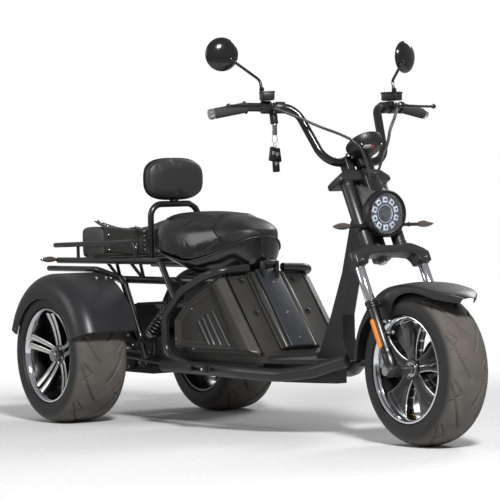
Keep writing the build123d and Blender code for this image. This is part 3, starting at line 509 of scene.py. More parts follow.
class Shape:
    """A mesh in the making. Each call adds a form, with the finish that is current."""

    def __init__(self, *finishes: Finish) -> None:
        self.bm = bmesh.new()
        self.finishes = list(finishes)
        self.current = 0

    def use(self, finish: Finish) -> Shape:
        """Choose the finish of the forms that follow."""
        if finish not in self.finishes:
            self.finishes.append(finish)
        self.current = self.finishes.index(finish)
        return self

    def _settle(self, verts: Iterable[bmesh.types.BMVert]) -> list[bmesh.types.BMFace]:
        """Give a new form its finish and turn its faces outwards.

        Args:
            verts: The form's vertices.

        Returns:
            The form's faces.
        """
        faces = list({face for vert in verts if vert.is_valid for face in vert.link_faces})
        bmesh.ops.recalc_face_normals(self.bm, faces=faces)
        for face in faces:
            face.material_index = self.current
        return faces

    def lathe(self, profile: Sequence[Point], frame: Matrix, steps: int = 64,
              closed: bool = True) -> list[bmesh.types.BMVert]:
        """Turn a profile all the way about the frame's z.

        Args:
            profile: Points as radius and distance along z.
            frame: Frame whose z is the axis.
            steps: Number of steps round.
            closed: Whether the profile's last point joins its first.

        Returns:
            The new vertices.
        """
        before = set(self.bm.verts)
        verts = [self.bm.verts.new(frame @ Vector((radius, 0, height))) for radius, height in profile]
        edges = [self.bm.edges.new(pair) for pair in zip(verts, verts[1:])]
        if closed and len(verts) > 2:
            edges.append(self.bm.edges.new((verts[-1], verts[0])))
        axis = frame.to_3x3() @ Vector((0, 0, 1))
        bmesh.ops.spin(self.bm, geom=verts + edges, cent=frame.translation, axis=axis, dvec=(0, 0, 0),
                       angle=2 * math.pi, steps=steps, use_merge=True, use_duplicate=False)
        new = [vert for vert in self.bm.verts if vert not in before]
        bmesh.ops.remove_doubles(self.bm, verts=new, dist=1e-6)
        new = [vert for vert in self.bm.verts if vert not in before]
        self._settle(new)
        return new

    def rod(self, start: Point, end: Point, radius: float, end_radius: float | None = None,
            segments: int = 32, bevel: float = 0.001) -> None:
        """Add a round bar between two places, with rounded rims.

        Args:
            start: Middle of the first end.
            end: Middle of the other end.
            radius: Radius at the first end.
            end_radius: Radius at the other end, if it differs.
            segments: Faces round it.
            bevel: Rounding of both rims.
        """
        start, end = Vector(start), Vector(end)
        length = (end - start).length
        last = radius if end_radius is None else end_radius
        soft = min(bevel, length / 3, radius * 0.6, last * 0.6)
        profile = [(0, 0), (radius - soft, 0), (radius - soft * 0.3, soft * 0.3), (radius, soft),
                   (last, length - soft), (last - soft * 0.3, length - soft * 0.3), (last - soft, length),
                   (0, length)]
        hint = (0, 1, 0) if abs((end - start).normalized().y) < 0.9 else (1, 0, 0)
        self.lathe(profile, frame_at(start, end - start, hint), segments, closed=False)

    def block(self, size: Point, frame: Matrix, bevel: float = 0.002, segments: int = 2) -> None:
        """Add a box with rounded edges, centred on the frame."""
        made = bmesh.ops.create_cube(self.bm, size=1, matrix=frame @ Matrix.Diagonal((*size, 1)))
        before = set(self.bm.verts) - set(made["verts"])
        edges = list({edge for vert in made["verts"] for edge in vert.link_edges})
        bmesh.ops.bevel(self.bm, geom=edges, offset=bevel, segments=segments, affect="EDGES", profile=0.5,
                        material=-1)
        self._settle([vert for vert in self.bm.verts if vert not in before])

    def plate(self, outline: Sequence[Point], depth: float, frame: Matrix, bevel: float = 0.0015,
              segments: int = 2, edge_finish: Finish | None = None) -> None:
        """Add a flat plate with rounded edges.

        Args:
            outline: Points as x and y in the frame.
            depth: Thickness along the frame's z.
            frame: Frame of the plate's first face.
            bevel: Rounding of its edges.
            segments: Faces across the rounding.
            edge_finish: Finish of the rounding, if it differs.
        """
        before = set(self.bm.verts)
        verts = [self.bm.verts.new(frame @ Vector((x, y, 0))) for x, y in outline]
        face = self.bm.faces.new(verts)
        made = bmesh.ops.extrude_face_region(self.bm, geom=[face])
        top = [item for item in made["geom"] if isinstance(item, bmesh.types.BMVert)]
        shift = frame.to_3x3() @ Vector((0, 0, depth))
        bmesh.ops.translate(self.bm, verts=top, vec=shift)
        new = [vert for vert in self.bm.verts if vert not in before]
        self._settle(new)
        if bevel > 0:
            edges = list({edge for vert in new for edge in vert.link_edges})
            made = bmesh.ops.bevel(self.bm, geom=edges, offset=bevel, segments=segments, affect="EDGES",
                                   profile=0.5, material=-1)
            if edge_finish is not None:
                current = self.current
                self.use(edge_finish)
                for edge_face in made["faces"]:
                    edge_face.material_index = self.current
                self.current = current

    def loft(self, rings: Sequence[Sequence[Point]], capped: bool = True) -> list[bmesh.types.BMVert]:
        """Join closed rings of equal length into a body.

        Args:
            rings: The rings, each a list of places.
            capped: Whether the first and last rings are filled.

        Returns:
            The new vertices.
        """
        made: list[bmesh.types.BMVert] = []
        last: list[bmesh.types.BMEdge] = []
        for index, ring in enumerate(rings):
            verts = [self.bm.verts.new(Vector(place)) for place in ring]
            edges = [self.bm.edges.new(pair) for pair in zip(verts, verts[1:] + verts[:1])]
            if capped and index in (0, len(rings) - 1):
                self.bm.faces.new(verts)
            if last:
                bmesh.ops.bridge_loops(self.bm, edges=last + edges)
            made += verts
            last = edges
        self._settle(made)
        return made

    def sheet(self, columns: int, rows: int, place: Callable[[float, float], Vector],
              wall: float, core: Vector) -> None:
        """Add a curved wall.

        Args:
            columns: Faces along the first direction.
            rows: Faces along the second direction.
            place: Gives the place of two shares from 0 to 1, on the outer face.
            wall: Thickness.
            core: A place on the wall's inner side.
        """
        outer = [[self.bm.verts.new(place(column / columns, row / rows)) for row in range(rows + 1)]
                 for column in range(columns + 1)]
        faces = []
        for left, right in zip(outer, outer[1:]):
            for index in range(rows):
                faces.append(self.bm.faces.new((left[index], left[index + 1], right[index + 1],
                                                right[index])))
        for face in faces:
            face.normal_update()
        flat = [vert for line in outer for vert in line]
        for vert in flat:
            vert.normal_update()
        away = 1 if sum(vert.normal.dot(vert.co - core) for vert in flat) > 0 else -1
        inner = {vert: self.bm.verts.new(vert.co - vert.normal * wall * away) for vert in flat}
        for face in faces:
            self.bm.faces.new([inner[vert] for vert in reversed(face.verts)])
        rim = [line[0] for line in outer] + outer[-1][1:] + [line[-1] for line in reversed(outer[:-1])]
        rim += list(reversed(outer[0][1:-1]))
        for first, second in zip(rim, rim[1:] + rim[:1]):
            self.bm.faces.new((first, second, inner[second], inner[first]))
        self._settle(flat + list(inner.values()))

    def path(self, points: Sequence[Point], radius: float, segments: int = 4, resolution: int = 6,
             cyclic: bool = False) -> None:
        """Add a round cord along a smooth line.

        Args:
            points: Control points of the line.
            radius: The cord's radius.
            segments: Bevel resolution of its section.
            resolution: Steps between points.
            cyclic: Whether the line closes.
        """
        curve = smooth_curve(points, resolution, cyclic)
        curve.bevel_depth = radius
        curve.bevel_resolution = segments
        curve.use_fill_caps = True
        mesh = curve_mesh(curve)
        before = set(self.bm.verts)
        self.bm.from_mesh(mesh)
        new = [vert for vert in self.bm.verts if vert not in before]
        bmesh.ops.remove_doubles(self.bm, verts=new, dist=1e-6)
        self._settle([vert for vert in self.bm.verts if vert not in before])
        bpy.data.meshes.remove(mesh)

    def ball(self, centre: Point, radius: float, scale: Point = (1, 1, 1), segments: int = 16) -> None:
        """Add a ball or an egg."""
        matrix = Matrix.Translation(Vector(centre)) @ Matrix.Diagonal((*scale, 1))
        made = bmesh.ops.create_uvsphere(self.bm, u_segments=segments, v_segments=segments // 2,
                                         radius=radius, matrix=matrix)
        self._settle(made["verts"])

    def bolt(self, centre: Point, direction: Point, radius: float = 0.006,
             finish: Finish | None = None) -> None:
        """Add a cap bolt's head with its socket, standing on a face."""
        current = self.current
        self.use(finish or Finishes.STEEL)
        frame = frame_at(centre, direction, (0.3, 0.5, 0.8))
        height = radius * 0.9
        self.lathe([(0, -height / 2), (radius, -height / 2), (radius, height * 0.7), (radius * 0.8, height),
                    (radius * 0.52, height), (radius * 0.45, height * 0.4), (0, height * 0.4)], frame, 12,
                   closed=False)
        self.current = current

    def piece(self, name: str, body: Body, slot: str, replaces: Sequence[str] = (),
              crease: float = 40.0) -> bpy.types.Object:
        """Finish the mesh as a piece of the object.

        Args:
            name: The piece's name.
            body: The body that it moves with.
            slot: The record's material slot; not used.
            replaces: CAD nodes that it stands for.
            crease: Angle in degrees past which an edge stays sharp.

        Returns:
            The new object.
        """
        mesh = bpy.data.meshes.new(name)
        self.bm.to_mesh(mesh)
        self.bm.free()
        for finish in self.finishes:
            mesh.materials.append(finish.material())
        mesh.shade_smooth()
        mesh.set_sharp_from_angle(angle=math.radians(crease))
        piece = bpy.data.objects.new(name, mesh)
        bpy.context.scene.collection.objects.link(piece)
        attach(piece, body.value)
        if replaces:
            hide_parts(*replaces)
        log.info("%s: %d faces", name, len(mesh.polygons))
        return piece


def oval(centre: Point, across: Point, upward: Point, half: float, height: float, power: float,
         count: int) -> list[Vector]:
    """Ring of a rounded box section.

    Args:
        centre: The section's middle.
        across: Direction of its width.
        upward: Direction of its height.
        half: Half of its width.
        height: Half of its height.
        power: 2 is an ellipse, and more is squarer.
        count: Number of points.

    Returns:
        The ring's places.
    """
    places = []
    for index in range(count):
        turn = 2 * math.pi * index / count
        c, s = math.cos(turn), math.sin(turn)
        x = math.copysign(abs(c) ** (2 / power), c) * half
        y = math.copysign(abs(s) ** (2 / power), s) * height
        places.append(Vector(centre) + Vector(across) * x + Vector(upward) * y)
    return places


def signal_lamp(shape: Shape, start: Vector, reach: float) -> None:
    """Add a slim signal lamp that tapers outward, with a bright reflector inside.

    Args:
        shape: The mesh in the making.
        start: Middle of its inner end.
        reach: Its length to the left, which is negative on the right.
    """
    for finish, low, high, grow in ((Finishes.SMOKE, 0.0, 1.0, 1.0), (Finishes.CHROME, 0.1, 0.45, 0.72)):
        rings = []
        for index in range(14):
            share = low + (high - low) * index / 13
            half = 0.0118 * grow * max(0.06, math.sin(math.pi * (0.12 + 0.88 * share)) ** 0.8)
            centre = start + Vector((0, reach * share, 0))
            rings.append(oval(centre, (1, 0, 0), (0, 0, 1), half, half * 0.92, 2.2, 20))
        shape.use(finish).loft(rings)


# Wheels


@dataclass
class Tyre:
    """A wide tyre with curved sipes cut into its tread."""

    name: str
    body: Body
    centre: Vector
    half: float
    squareness: float
    bead_half: float
    pitches: int
    bead_radius: float = 0.158
    wide_radius: float = 0.184
    tread_low: float = 0.197
    steps: int = 720
    sipe_depth: float = 0.0062
    sipe_width: float = 0.0038
    tread_columns: int = 56

    def profile(self) -> list[Point]:
        """Section as radius and distance along the axle, from one bead to the other."""
        rise = WHEEL_RADIUS - self.wide_radius
        crown = []
        for index in range(self.tread_columns + 1):
            turn = math.pi * index / self.tread_columns
            y = -math.cos(turn) * self.half
            share = min(1.0, abs(y) / self.half)
            radius = self.wide_radius + rise * (1 - share ** self.squareness) ** (1 / self.squareness)
            crown.append((radius, y))
        ledge = self.bead_radius + 0.010
        low = [(self.bead_radius, -self.bead_half), (ledge, -self.bead_half),
               (ledge + 0.003, -self.half * 0.97), (ledge + 0.006, -self.half * 0.965)]
        return low + crown + [(radius, -y) for radius, y in reversed(low)]

    def sipe(self, turn: float, y: float) -> float:
        """Depth share of the sipes at a turn about the axle and a distance along it."""
        side = 1 if y >= 0 else -1
        share = abs(y) / self.half
        pitch = 2 * math.pi / self.pitches
        depth = 0.0
        lines = ((-0.45, 1.25, 1.5, 0.10, 0.86, 1.0), (0.02, 0.75, 1.0, 0.42, 0.80, 0.8),
                 (0.62, -0.55, 1.0, 0.50, 0.84, 0.7))
        for start, sweep, bend, low, high, scale in lines:
            if not low - 0.05 < share < high + 0.05:
                continue
            line = (start + sweep * share ** bend) * pitch
            slope = sweep * bend * share ** (bend - 1) * pitch / self.half
            local = (turn + side * pitch / 4 - line + pitch / 2) % pitch - pitch / 2
            gap = abs(local) * WHEEL_RADIUS / math.hypot(1, slope * WHEEL_RADIUS)
            taper = (smoothstep(share, low - 0.05, low + 0.08)
                     * (1 - smoothstep(share, high - 0.08, high + 0.05)))
            width = self.sipe_width * scale
            depth = max(depth, scale * taper * (1 - smoothstep(gap, width * 0.45, width * 1.1)))
        return depth

    def build(self) -> bpy.types.Object:
        """Make the tyre."""
        finish = TyreRubber(f"rubber_{self.name}", (0.007, 0.0068, 0.0066), 0.58, centre=tuple(self.centre))
        shape = Shape(finish)
        frame = frame_at(self.centre, (0, 1, 0), (1, 0, 0))
        verts = shape.lathe(self.profile(), frame, self.steps)
        for vert in verts:
            local = vert.co - self.centre
            radius = math.hypot(local.x, local.z)
            if radius < self.tread_low:
                continue
            cut = self.sipe_depth * self.sipe(math.atan2(local.z, local.x), local.y)
            scale = (radius - cut) / radius
            vert.co = self.centre + Vector((local.x * scale, local.y, local.z * scale))
        return shape.piece(f"{self.name}_tread", self.body, "tyre_rubber", [self.name], crease=60)


@dataclass
class Rim:
    """What the two kinds of rim share: barrel, polished lips, brake disc and valve."""

    node: str
    body: Body
    centre: Vector
    outward: int
    half: float
    slot: str
    lip_radius: float = 0.165
    seat_radius: float = 0.158
    barrel_radius: float = 0.150
    hub_half: float = 0.055
    lip_depth: float = 0.028
    disc_radius: float = 0.090
    bore: float = 0.0101

    def place(self, radius: float, turn: float, out: float) -> Vector:
        """Place at a radius, a turn about the axle and a distance outward."""
        return self.centre + Vector((radius * math.cos(turn), self.outward * out, radius * math.sin(turn)))

    def ring(self, shape: Shape, finish: Finish, profile: Sequence[Point], steps: int = 128) -> None:
        """Turn a closed profile of radius and distance outward about the axle."""
        shape.use(finish)
        shape.lathe(profile, frame_at(self.centre, (0, self.outward, 0), (1, 0, 0)), steps)

    def barrel(self, shape: Shape) -> None:
        """Add the barrel and its lips."""
        half, lip, seat, inner = self.half, self.lip_radius, self.seat_radius, self.barrel_radius
        outer = [(lip, -half), (lip, -half + 0.005), (seat, -half + 0.006), (seat, half - 0.006),
                 (lip, half - 0.006), (lip, half - 0.005)]
        dish = [(inner, half - self.lip_depth), (inner - 0.002, 0.0), (inner, -half + 0.02), (seat, -half)]
        self.ring(shape, Finishes.RIM_BLACK, outer + dish)
        polished = [(lip, half - 0.0049), (lip + 0.0005, half - 0.001), (lip - 0.001, half),
                    (lip - 0.0045, half),
                    (lip - 0.007, half - 0.003), (inner + 0.004, half - 0.010), (inner + 0.002, half - 0.020),
                    (inner, half - self.lip_depth), (inner + 0.002, half - self.lip_depth - 0.0005)]
        self.ring(shape, Finishes.CHROME, polished, 160)

    def disc(self, shape: Shape) -> None:
        """Add the brake disc on its carrier, and the bolts."""
        low = -self.hub_half
        self.ring(shape, Finishes.STEEL, [(0.052, low), (self.disc_radius, low),
                                          (self.disc_radius, low - 0.0035), (0.052, low - 0.0035)], 96)
        self.ring(shape, Finishes.RIM_BLACK, [(self.bore, low + 0.001), (0.056, low + 0.001),
                                              (0.056, low - 0.0038), (self.bore, low - 0.0038)], 48)
        for turn in turns(5):
            shape.bolt(self.place(0.047, turn, low - 0.0038), (0, -self.outward, 0), 0.005)

    def valve(self, shape: Shape, turn: float) -> None:
        """Add the tyre's valve, which leans out of the barrel."""
        foot = self.place(self.barrel_radius - 0.001, turn, self.half - 0.055)
        top = self.place(self.barrel_radius - 0.03, turn, self.half - 0.040)
        shape.use(Finishes.GOLD).rod(foot, foot.lerp(top, 0.6), 0.0045, segments=16)
        shape.use(Finishes.PLASTIC).rod(foot.lerp(top, 0.55), top, 0.0052, segments=16)


@dataclass
class StarRim(Rim):
    """Front rim: a black five-armed star with machined edges."""

    arm: Sequence[Point] = ((0.026, -0.021), (0.058, -0.024), (0.088, -0.031), (0.120, -0.045),
                            (0.1400, -0.0600),
                            (0.1515, 0.0), (0.1400, 0.0600), (0.120, 0.045), (0.088, 0.031), (0.058, 0.024),
                            (0.026, 0.021))
    inset: float = 0.026
    depth: float = 0.030

    def build(self) -> bpy.types.Object:
        """Make the rim."""
        shape = Shape(Finishes.RIM_BLACK)
        self.barrel(shape)
        face = self.half - self.inset
        for turn in turns(5, 90):
            direction = Vector((math.cos(turn), 0, math.sin(turn)))
            frame = frame_at(self.centre + Vector((0, self.outward * (face - self.depth), 0)),
                             (0, self.outward, 0), direction)
            shape.use(Finishes.RIM_BLACK)
            shape.plate(self.arm, self.depth, frame, 0.0032, 2, Finishes.MACHINED)
            groove = [(0.075, -0.004), (0.132, -0.009), (0.138, 0.0), (0.132, 0.009), (0.075, 0.004)]
            lifted = frame @ Matrix.Translation((0, 0, self.depth - 0.0004))
            shape.use(Finishes.PLASTIC).plate(groove, 0.0012, lifted, 0.0005, 1)
        hub = [(self.bore, -self.hub_half), (0.036, -self.hub_half), (0.036, face - 0.004),
               (0.032, face + 0.004), (0.028, self.hub_half), (self.bore, self.hub_half)]
        self.ring(shape, Finishes.RIM_BLACK, hub, 64)
        self.ring(shape, Finishes.CHROME, [(0.0145, self.hub_half - 0.001), (0.024, self.hub_half - 0.001),
                                           (0.0235, self.hub_half + 0.0012),
                                           (0.0145, self.hub_half + 0.0012)], 48)
        self.disc(shape)
        self.valve(shape, math.radians(258))
        return shape.piece(f"{self.node}_star", self.body, self.slot, [self.node])


@dataclass
class SpokeRim(Rim):
    """Rear rim: a deep black dish with five pairs of machined spokes."""

    spoke_offset: float = 0.0150
    spoke_half: float = 0.0092
    spoke_depth: float = 0.028
    hub_radius: float = 0.040

    def spoke(self, shape: Shape, turn: float, offset: float) -> None:
        """Add one curved spoke beside the radius at a turn."""
        radial = Vector((math.cos(turn), 0, math.sin(turn)))
        across = Vector((-math.sin(turn), 0, math.cos(turn)))
        out = Vector((0, self.outward, 0))
        rings = []
        stations = 10
        for index in range(stations):
            share = index / (stations - 1)
            radius = self.hub_radius - 0.006 + (self.barrel_radius + 0.004 - self.hub_radius) * share
            face = self.half - 0.046 + 0.034 * share ** 1.6
            side = offset * (0.75 + 0.35 * share)
            half = self.spoke_half * (0.85 + 0.35 * share)
            middle = self.centre + radial * radius + across * side + out * (face - self.spoke_depth / 2)
            rings.append(oval(middle, across, out, half, self.spoke_depth / 2, 7, 20))
        before = set(shape.bm.faces)
        shape.use(Finishes.RIM_BLACK).loft(rings)
        shape.use(Finishes.MACHINED)
        for bright in [face for face in shape.bm.faces if face not in before]:
            if bright.normal.dot(out) > 0.55:
                bright.material_index = shape.current

    def build(self) -> bpy.types.Object:
        """Make the rim."""
        shape = Shape(Finishes.RIM_BLACK)
        self.barrel(shape)
        for turn in turns(5, 90):
            for side in (-1, 1):
                self.spoke(shape, turn, side * self.spoke_offset)
        low, face = -self.hub_half, self.half - 0.046
        self.ring(shape, Finishes.RIM_BLACK, [(self.bore, low), (self.hub_radius, low),
                                              (self.hub_radius, face - 0.004),
                                              (self.hub_radius - 0.006, face), (self.bore, face)], 64)
        for turn in turns(5, 54):
            shape.bolt(self.place(0.028, turn, face), (0, self.outward, 0), 0.0065, Finishes.CHROME)
        self.disc(shape)
        self.valve(shape, math.radians(306))
        return shape.piece(f"{self.node}_dish", self.body, self.slot, [self.node])


# Front end


@dataclass
class Fork:
    """Fork legs, chrome tubes, yoke and top clamp."""

    leg_side: float = 0.124
    leg_radius: float = 0.0168
    leg_top: float = 0.235
    yoke_low: float = 0.355
    yoke_high: float = 0.421
    stem_radius: float = 0.0149
    cover_side: float = 0.065
    cover_out: float = 0.028
    clamp_low: float = 0.648
    clamp_high: float = 0.690
    riser_side: float = 0.038
    bar_up: float = 0.724
    bar_out: float = 0.026

    def leg(self, up: float, side: float) -> Vector:
        """Place on a leg's axis."""
        return on_steer(up, FORK_OFFSET, side)

    def lowers(self) -> None:
        """Make the lower legs with their collars, lugs, reflectors and bolts."""
        shape = Shape(Finishes.LEG)
        for _, sign in SIDES:
            side = sign * self.leg_side
            shape.use(Finishes.LEG).rod(self.leg(0.036, side), self.leg(self.leg_top - 0.02, side),
                                        self.leg_radius, segments=48)
            shape.rod(self.leg(0.052, side), self.leg(0.070, side), self.leg_radius, self.leg_radius + 0.0025,
                      48)
            shape.rod(self.leg(0.012, side), self.leg(0.054, side), self.leg_radius + 0.0024, segments=48)
            shape.use(Finishes.PLASTIC)
            collar = ((self.leg_top - 0.026, 0.0195), (self.leg_top - 0.017, 0.0185),
                      (self.leg_top - 0.009, 0.0198))
            for foot, radius in collar:
                shape.rod(self.leg(foot, side), self.leg(foot + 0.0085, side), radius, segments=48,
                          bevel=0.002)
            shape.rod(self.leg(self.leg_top - 0.002, side), self.leg(self.leg_top, side), 0.0175, segments=48)
            middle = Vector((WHEELBASE - ORIGIN_AHEAD, side, WHEEL_RADIUS))
            shape.use(Finishes.DRIVE)
            hub = [(0.0101, -0.02), (0.019, -0.02), (0.0202, -0.018), (0.0202, 0.018), (0.019, 0.02),
                   (0.0101, 0.02)]
            shape.lathe(hub, frame_at(middle, (0, 1, 0), (1, 0, 0)), 48)
            frame = frame_at(self.leg(0.125, side) + Vector((0, sign * (self.leg_radius - 0.004), 0)),
                             (0, sign, 0), (-LEAN, 0, RISE))
            shape.block((0.096, 0.021, 0.008), frame, 0.003, 3)
            outline = [(0.041 * math.copysign(1, math.cos(t)) + 0.008 * math.cos(t), 0.008 * math.sin(t))
                       for t in [2 * math.pi * (k + 0.5) / 20 for k in range(20)]]
            # The reflector strips glow with painted light.
            shape.use(Finishes.AMBER).plate(outline, 0.0045, frame @ Matrix.Translation((0, 0, 0.0038)),
                                            0.0012, 2)
            for up in FENDER_BOLTS_UP:
                spot = on_steer(up, FORK_OFFSET + 0.021, sign * 0.112)
                shape.use(Finishes.PLASTIC).rod(on_steer(up, FORK_OFFSET + 0.008, sign * 0.112), spot, 0.008)
                shape.bolt(spot, FACE_DIRECTION, 0.006)
        shape.piece("fork_legs", Body.STEERING, "fork_gunmetal", ["fork_lowers"])

    def tubes(self) -> None:
        """Make the chrome tubes."""
        shape = Shape(Finishes.CHROME)
        for _, sign in SIDES:
            side = sign * self.leg_side
            shape.rod(self.leg(self.leg_top, side), self.leg(self.yoke_low + 0.004, side), 0.0155,
                      segments=64)
        shape.piece("fork_stanchions", Body.STEERING, "fork_chrome", ["fork_tubes"])

    def yoke(self) -> None:
        """Make the arched lower yoke, the top clamp, the stem and the bar's risers."""
        shape = Shape(Finishes.CASTING)
        half, low, high = 0.146, self.yoke_low, self.yoke_high
        arch = [(-half, low), (-half, low + 0.034), (-half + 0.020, high - 0.017), (-0.088, high - 0.002),
                (-0.066, high), (-0.040, high - 0.006), (0.040, high - 0.006), (0.066, high),
                (0.088, high - 0.002),
                (half - 0.020, high - 0.017), (half, low + 0.034), (half, low), (half - 0.046, low),
                (half - 0.050, low + 0.016), (half - 0.062, low + 0.029), (0.05, low + 0.034),
                (-0.05, low + 0.034),
                (0.062 - half, low + 0.029), (0.050 - half, low + 0.016), (0.046 - half, low)]
        frame = frame_at(on_steer(0, 0.009), FACE_DIRECTION, (0, 1, 0))
        shape.plate(arch, 0.050, frame, 0.0055, 3)
        for _, sign in SIDES:
            shape.rod(self.leg(low - 0.001, sign * self.leg_side),
                      self.leg(low + 0.046, sign * self.leg_side), 0.0238, segments=48, bevel=0.004)
        shape.rod(on_steer(low + 0.033, 0), on_steer(high, 0), 0.031, segments=48, bevel=0.003)
        shape.use(Finishes.STEEL).rod(on_steer(low + 0.022, 0), on_steer(low + 0.036, 0), 0.016, segments=6)
        shape.use(Finishes.CASTING)
        crown = [(-0.100, 0.0), (-0.100, 0.018), (-0.070, 0.040), (-0.040, 0.042), (0.040, 0.042),
                 (0.070, 0.040), (0.100, 0.018), (0.100, 0.0)]
        clamp = frame_at(on_steer(self.clamp_low, -0.029), FACE_DIRECTION, (0, 1, 0))
        shape.plate(crown, 0.078, clamp, 0.006, 3)
        shape.use(Finishes.STEEL)
        shape.rod(on_steer(high, 0), on_steer(self.clamp_low, 0), self.stem_radius, segments=32)
        for _, sign in SIDES:
            shape.use(Finishes.PLASTIC)
            centre = on_steer((self.clamp_high + self.bar_up) / 2 + 0.006, self.bar_out,
                              sign * self.riser_side)
            shape.block((0.030, 0.038, self.bar_up + 0.016 - self.clamp_high),
                        frame_at(centre, (-LEAN, 0, RISE), (0, 1, 0)), 0.004, 3)
            for shift in (-0.014, 0.014):
                top = on_steer(self.bar_up + 0.0195, self.bar_out + shift, sign * self.riser_side)
                shape.bolt(top, (-LEAN, 0, RISE), 0.0045)
            spot = on_steer(low + 0.012, 0.060, sign * self.leg_side)
            shape.bolt(spot, FACE_DIRECTION, 0.0045)
        shape.piece("fork_yoke", Body.STEERING, "clamp_gunmetal", ["triple_clamp"])

    def covers(self) -> None:
        """Make the tube covers between the yoke and the top clamp."""
        shape = Shape(Finishes.CASTING)
        for _, sign in SIDES:
            low = on_steer(self.yoke_high - 0.002, self.cover_out, sign * self.cover_side)
            high = on_steer(self.clamp_low + 0.002, self.cover_out, sign * self.cover_side)
            shape.rod(low, high, 0.021, segments=56)
            for share in (0.04, 0.93):
                foot = low.lerp(high, share)
                shape.rod(foot, foot + (high - low).normalized() * 0.006, 0.0222, segments=56)
        shape.piece("fork_cover_tubes", Body.STEERING, "clamp_gunmetal", ["fork_covers"])

    def build(self) -> None:
        """Make the fork."""
        self.lowers()
        self.tubes()
        self.yoke()
        self.covers()


@dataclass
class FrontFender:
    """Front fender: a close shell whose sides drop to the legs and whose nose flares to a point."""

    centre: Vector = field(default_factory=lambda: Vector((WHEELBASE - ORIGIN_AHEAD, 0, WHEEL_RADIUS)))
    wall: float = 0.0035
    nose_turn: float = 44
    sweep: float = 132
    shoulder: float = 0.62
    # Rows: turn in degrees from straight ahead, radius on the middle line, skirt's lowest radius, half width
    sections: Sequence[Point] = ((42, 0.326, 0.300, 0.016), (50, 0.311, 0.276, 0.058),
                                 (58, 0.293, 0.262, 0.082), (70, 0.276, 0.250, 0.090),
                                 (84, 0.268, 0.236, 0.092), (98, 0.266, 0.214, 0.092),
                                 (108, 0.268, 0.176, 0.092), (118, 0.268, 0.172, 0.092),
                                 (128, 0.266, 0.214, 0.091), (150, 0.264, 0.236, 0.089),
                                 (176, 0.264, 0.240, 0.087))

    def place(self, share: float, across: float) -> Vector:
        """Place on the shell, from the nose to the rear and from the right skirt to the left one."""
        turn = self.nose_turn + self.sweep * share
        radius, low, half = (along_line(self.sections, turn, column) for column in (1, 2, 3))
        side = 2 * across - 1
        reach = abs(side)
        if reach < self.shoulder:
            y = half * 0.86 * reach / self.shoulder
            r = radius - 0.006 * (reach / self.shoulder) ** 2
        else:
            t = (reach - self.shoulder) / (1 - self.shoulder)
            y = half * (0.86 + 0.14 * math.sin(min(1.0, t * 2.2) * math.pi / 2))
            r = radius - 0.006 - (radius - 0.006 - low) * t ** 1.15
        angle = math.radians(turn)
        return self.centre + Vector((r * math.cos(angle), math.copysign(y, side), r * math.sin(angle)))

    def build(self) -> None:
        """Make the fender with its brackets and bolts."""
        shape = Shape(Finishes.FRONT_FENDER)
        shape.sheet(96, 64, self.place, self.wall, self.centre)
        for _, sign in SIDES:
            for up in FENDER_BOLTS_UP:
                spot = on_steer(up, FORK_OFFSET + 0.020, sign * 0.0935)
                shape.bolt(spot, (0, sign, 0), 0.0065)
            inner = on_steer(0.224, FORK_OFFSET, sign * 0.088)
            shape.use(Finishes.PLASTIC).rod(inner, on_steer(0.224, FORK_OFFSET, sign * 0.1035), 0.0095)
        shape.piece("front_fender_shell", Body.STEERING, "fender_charcoal", ["front_fender"], crease=50)


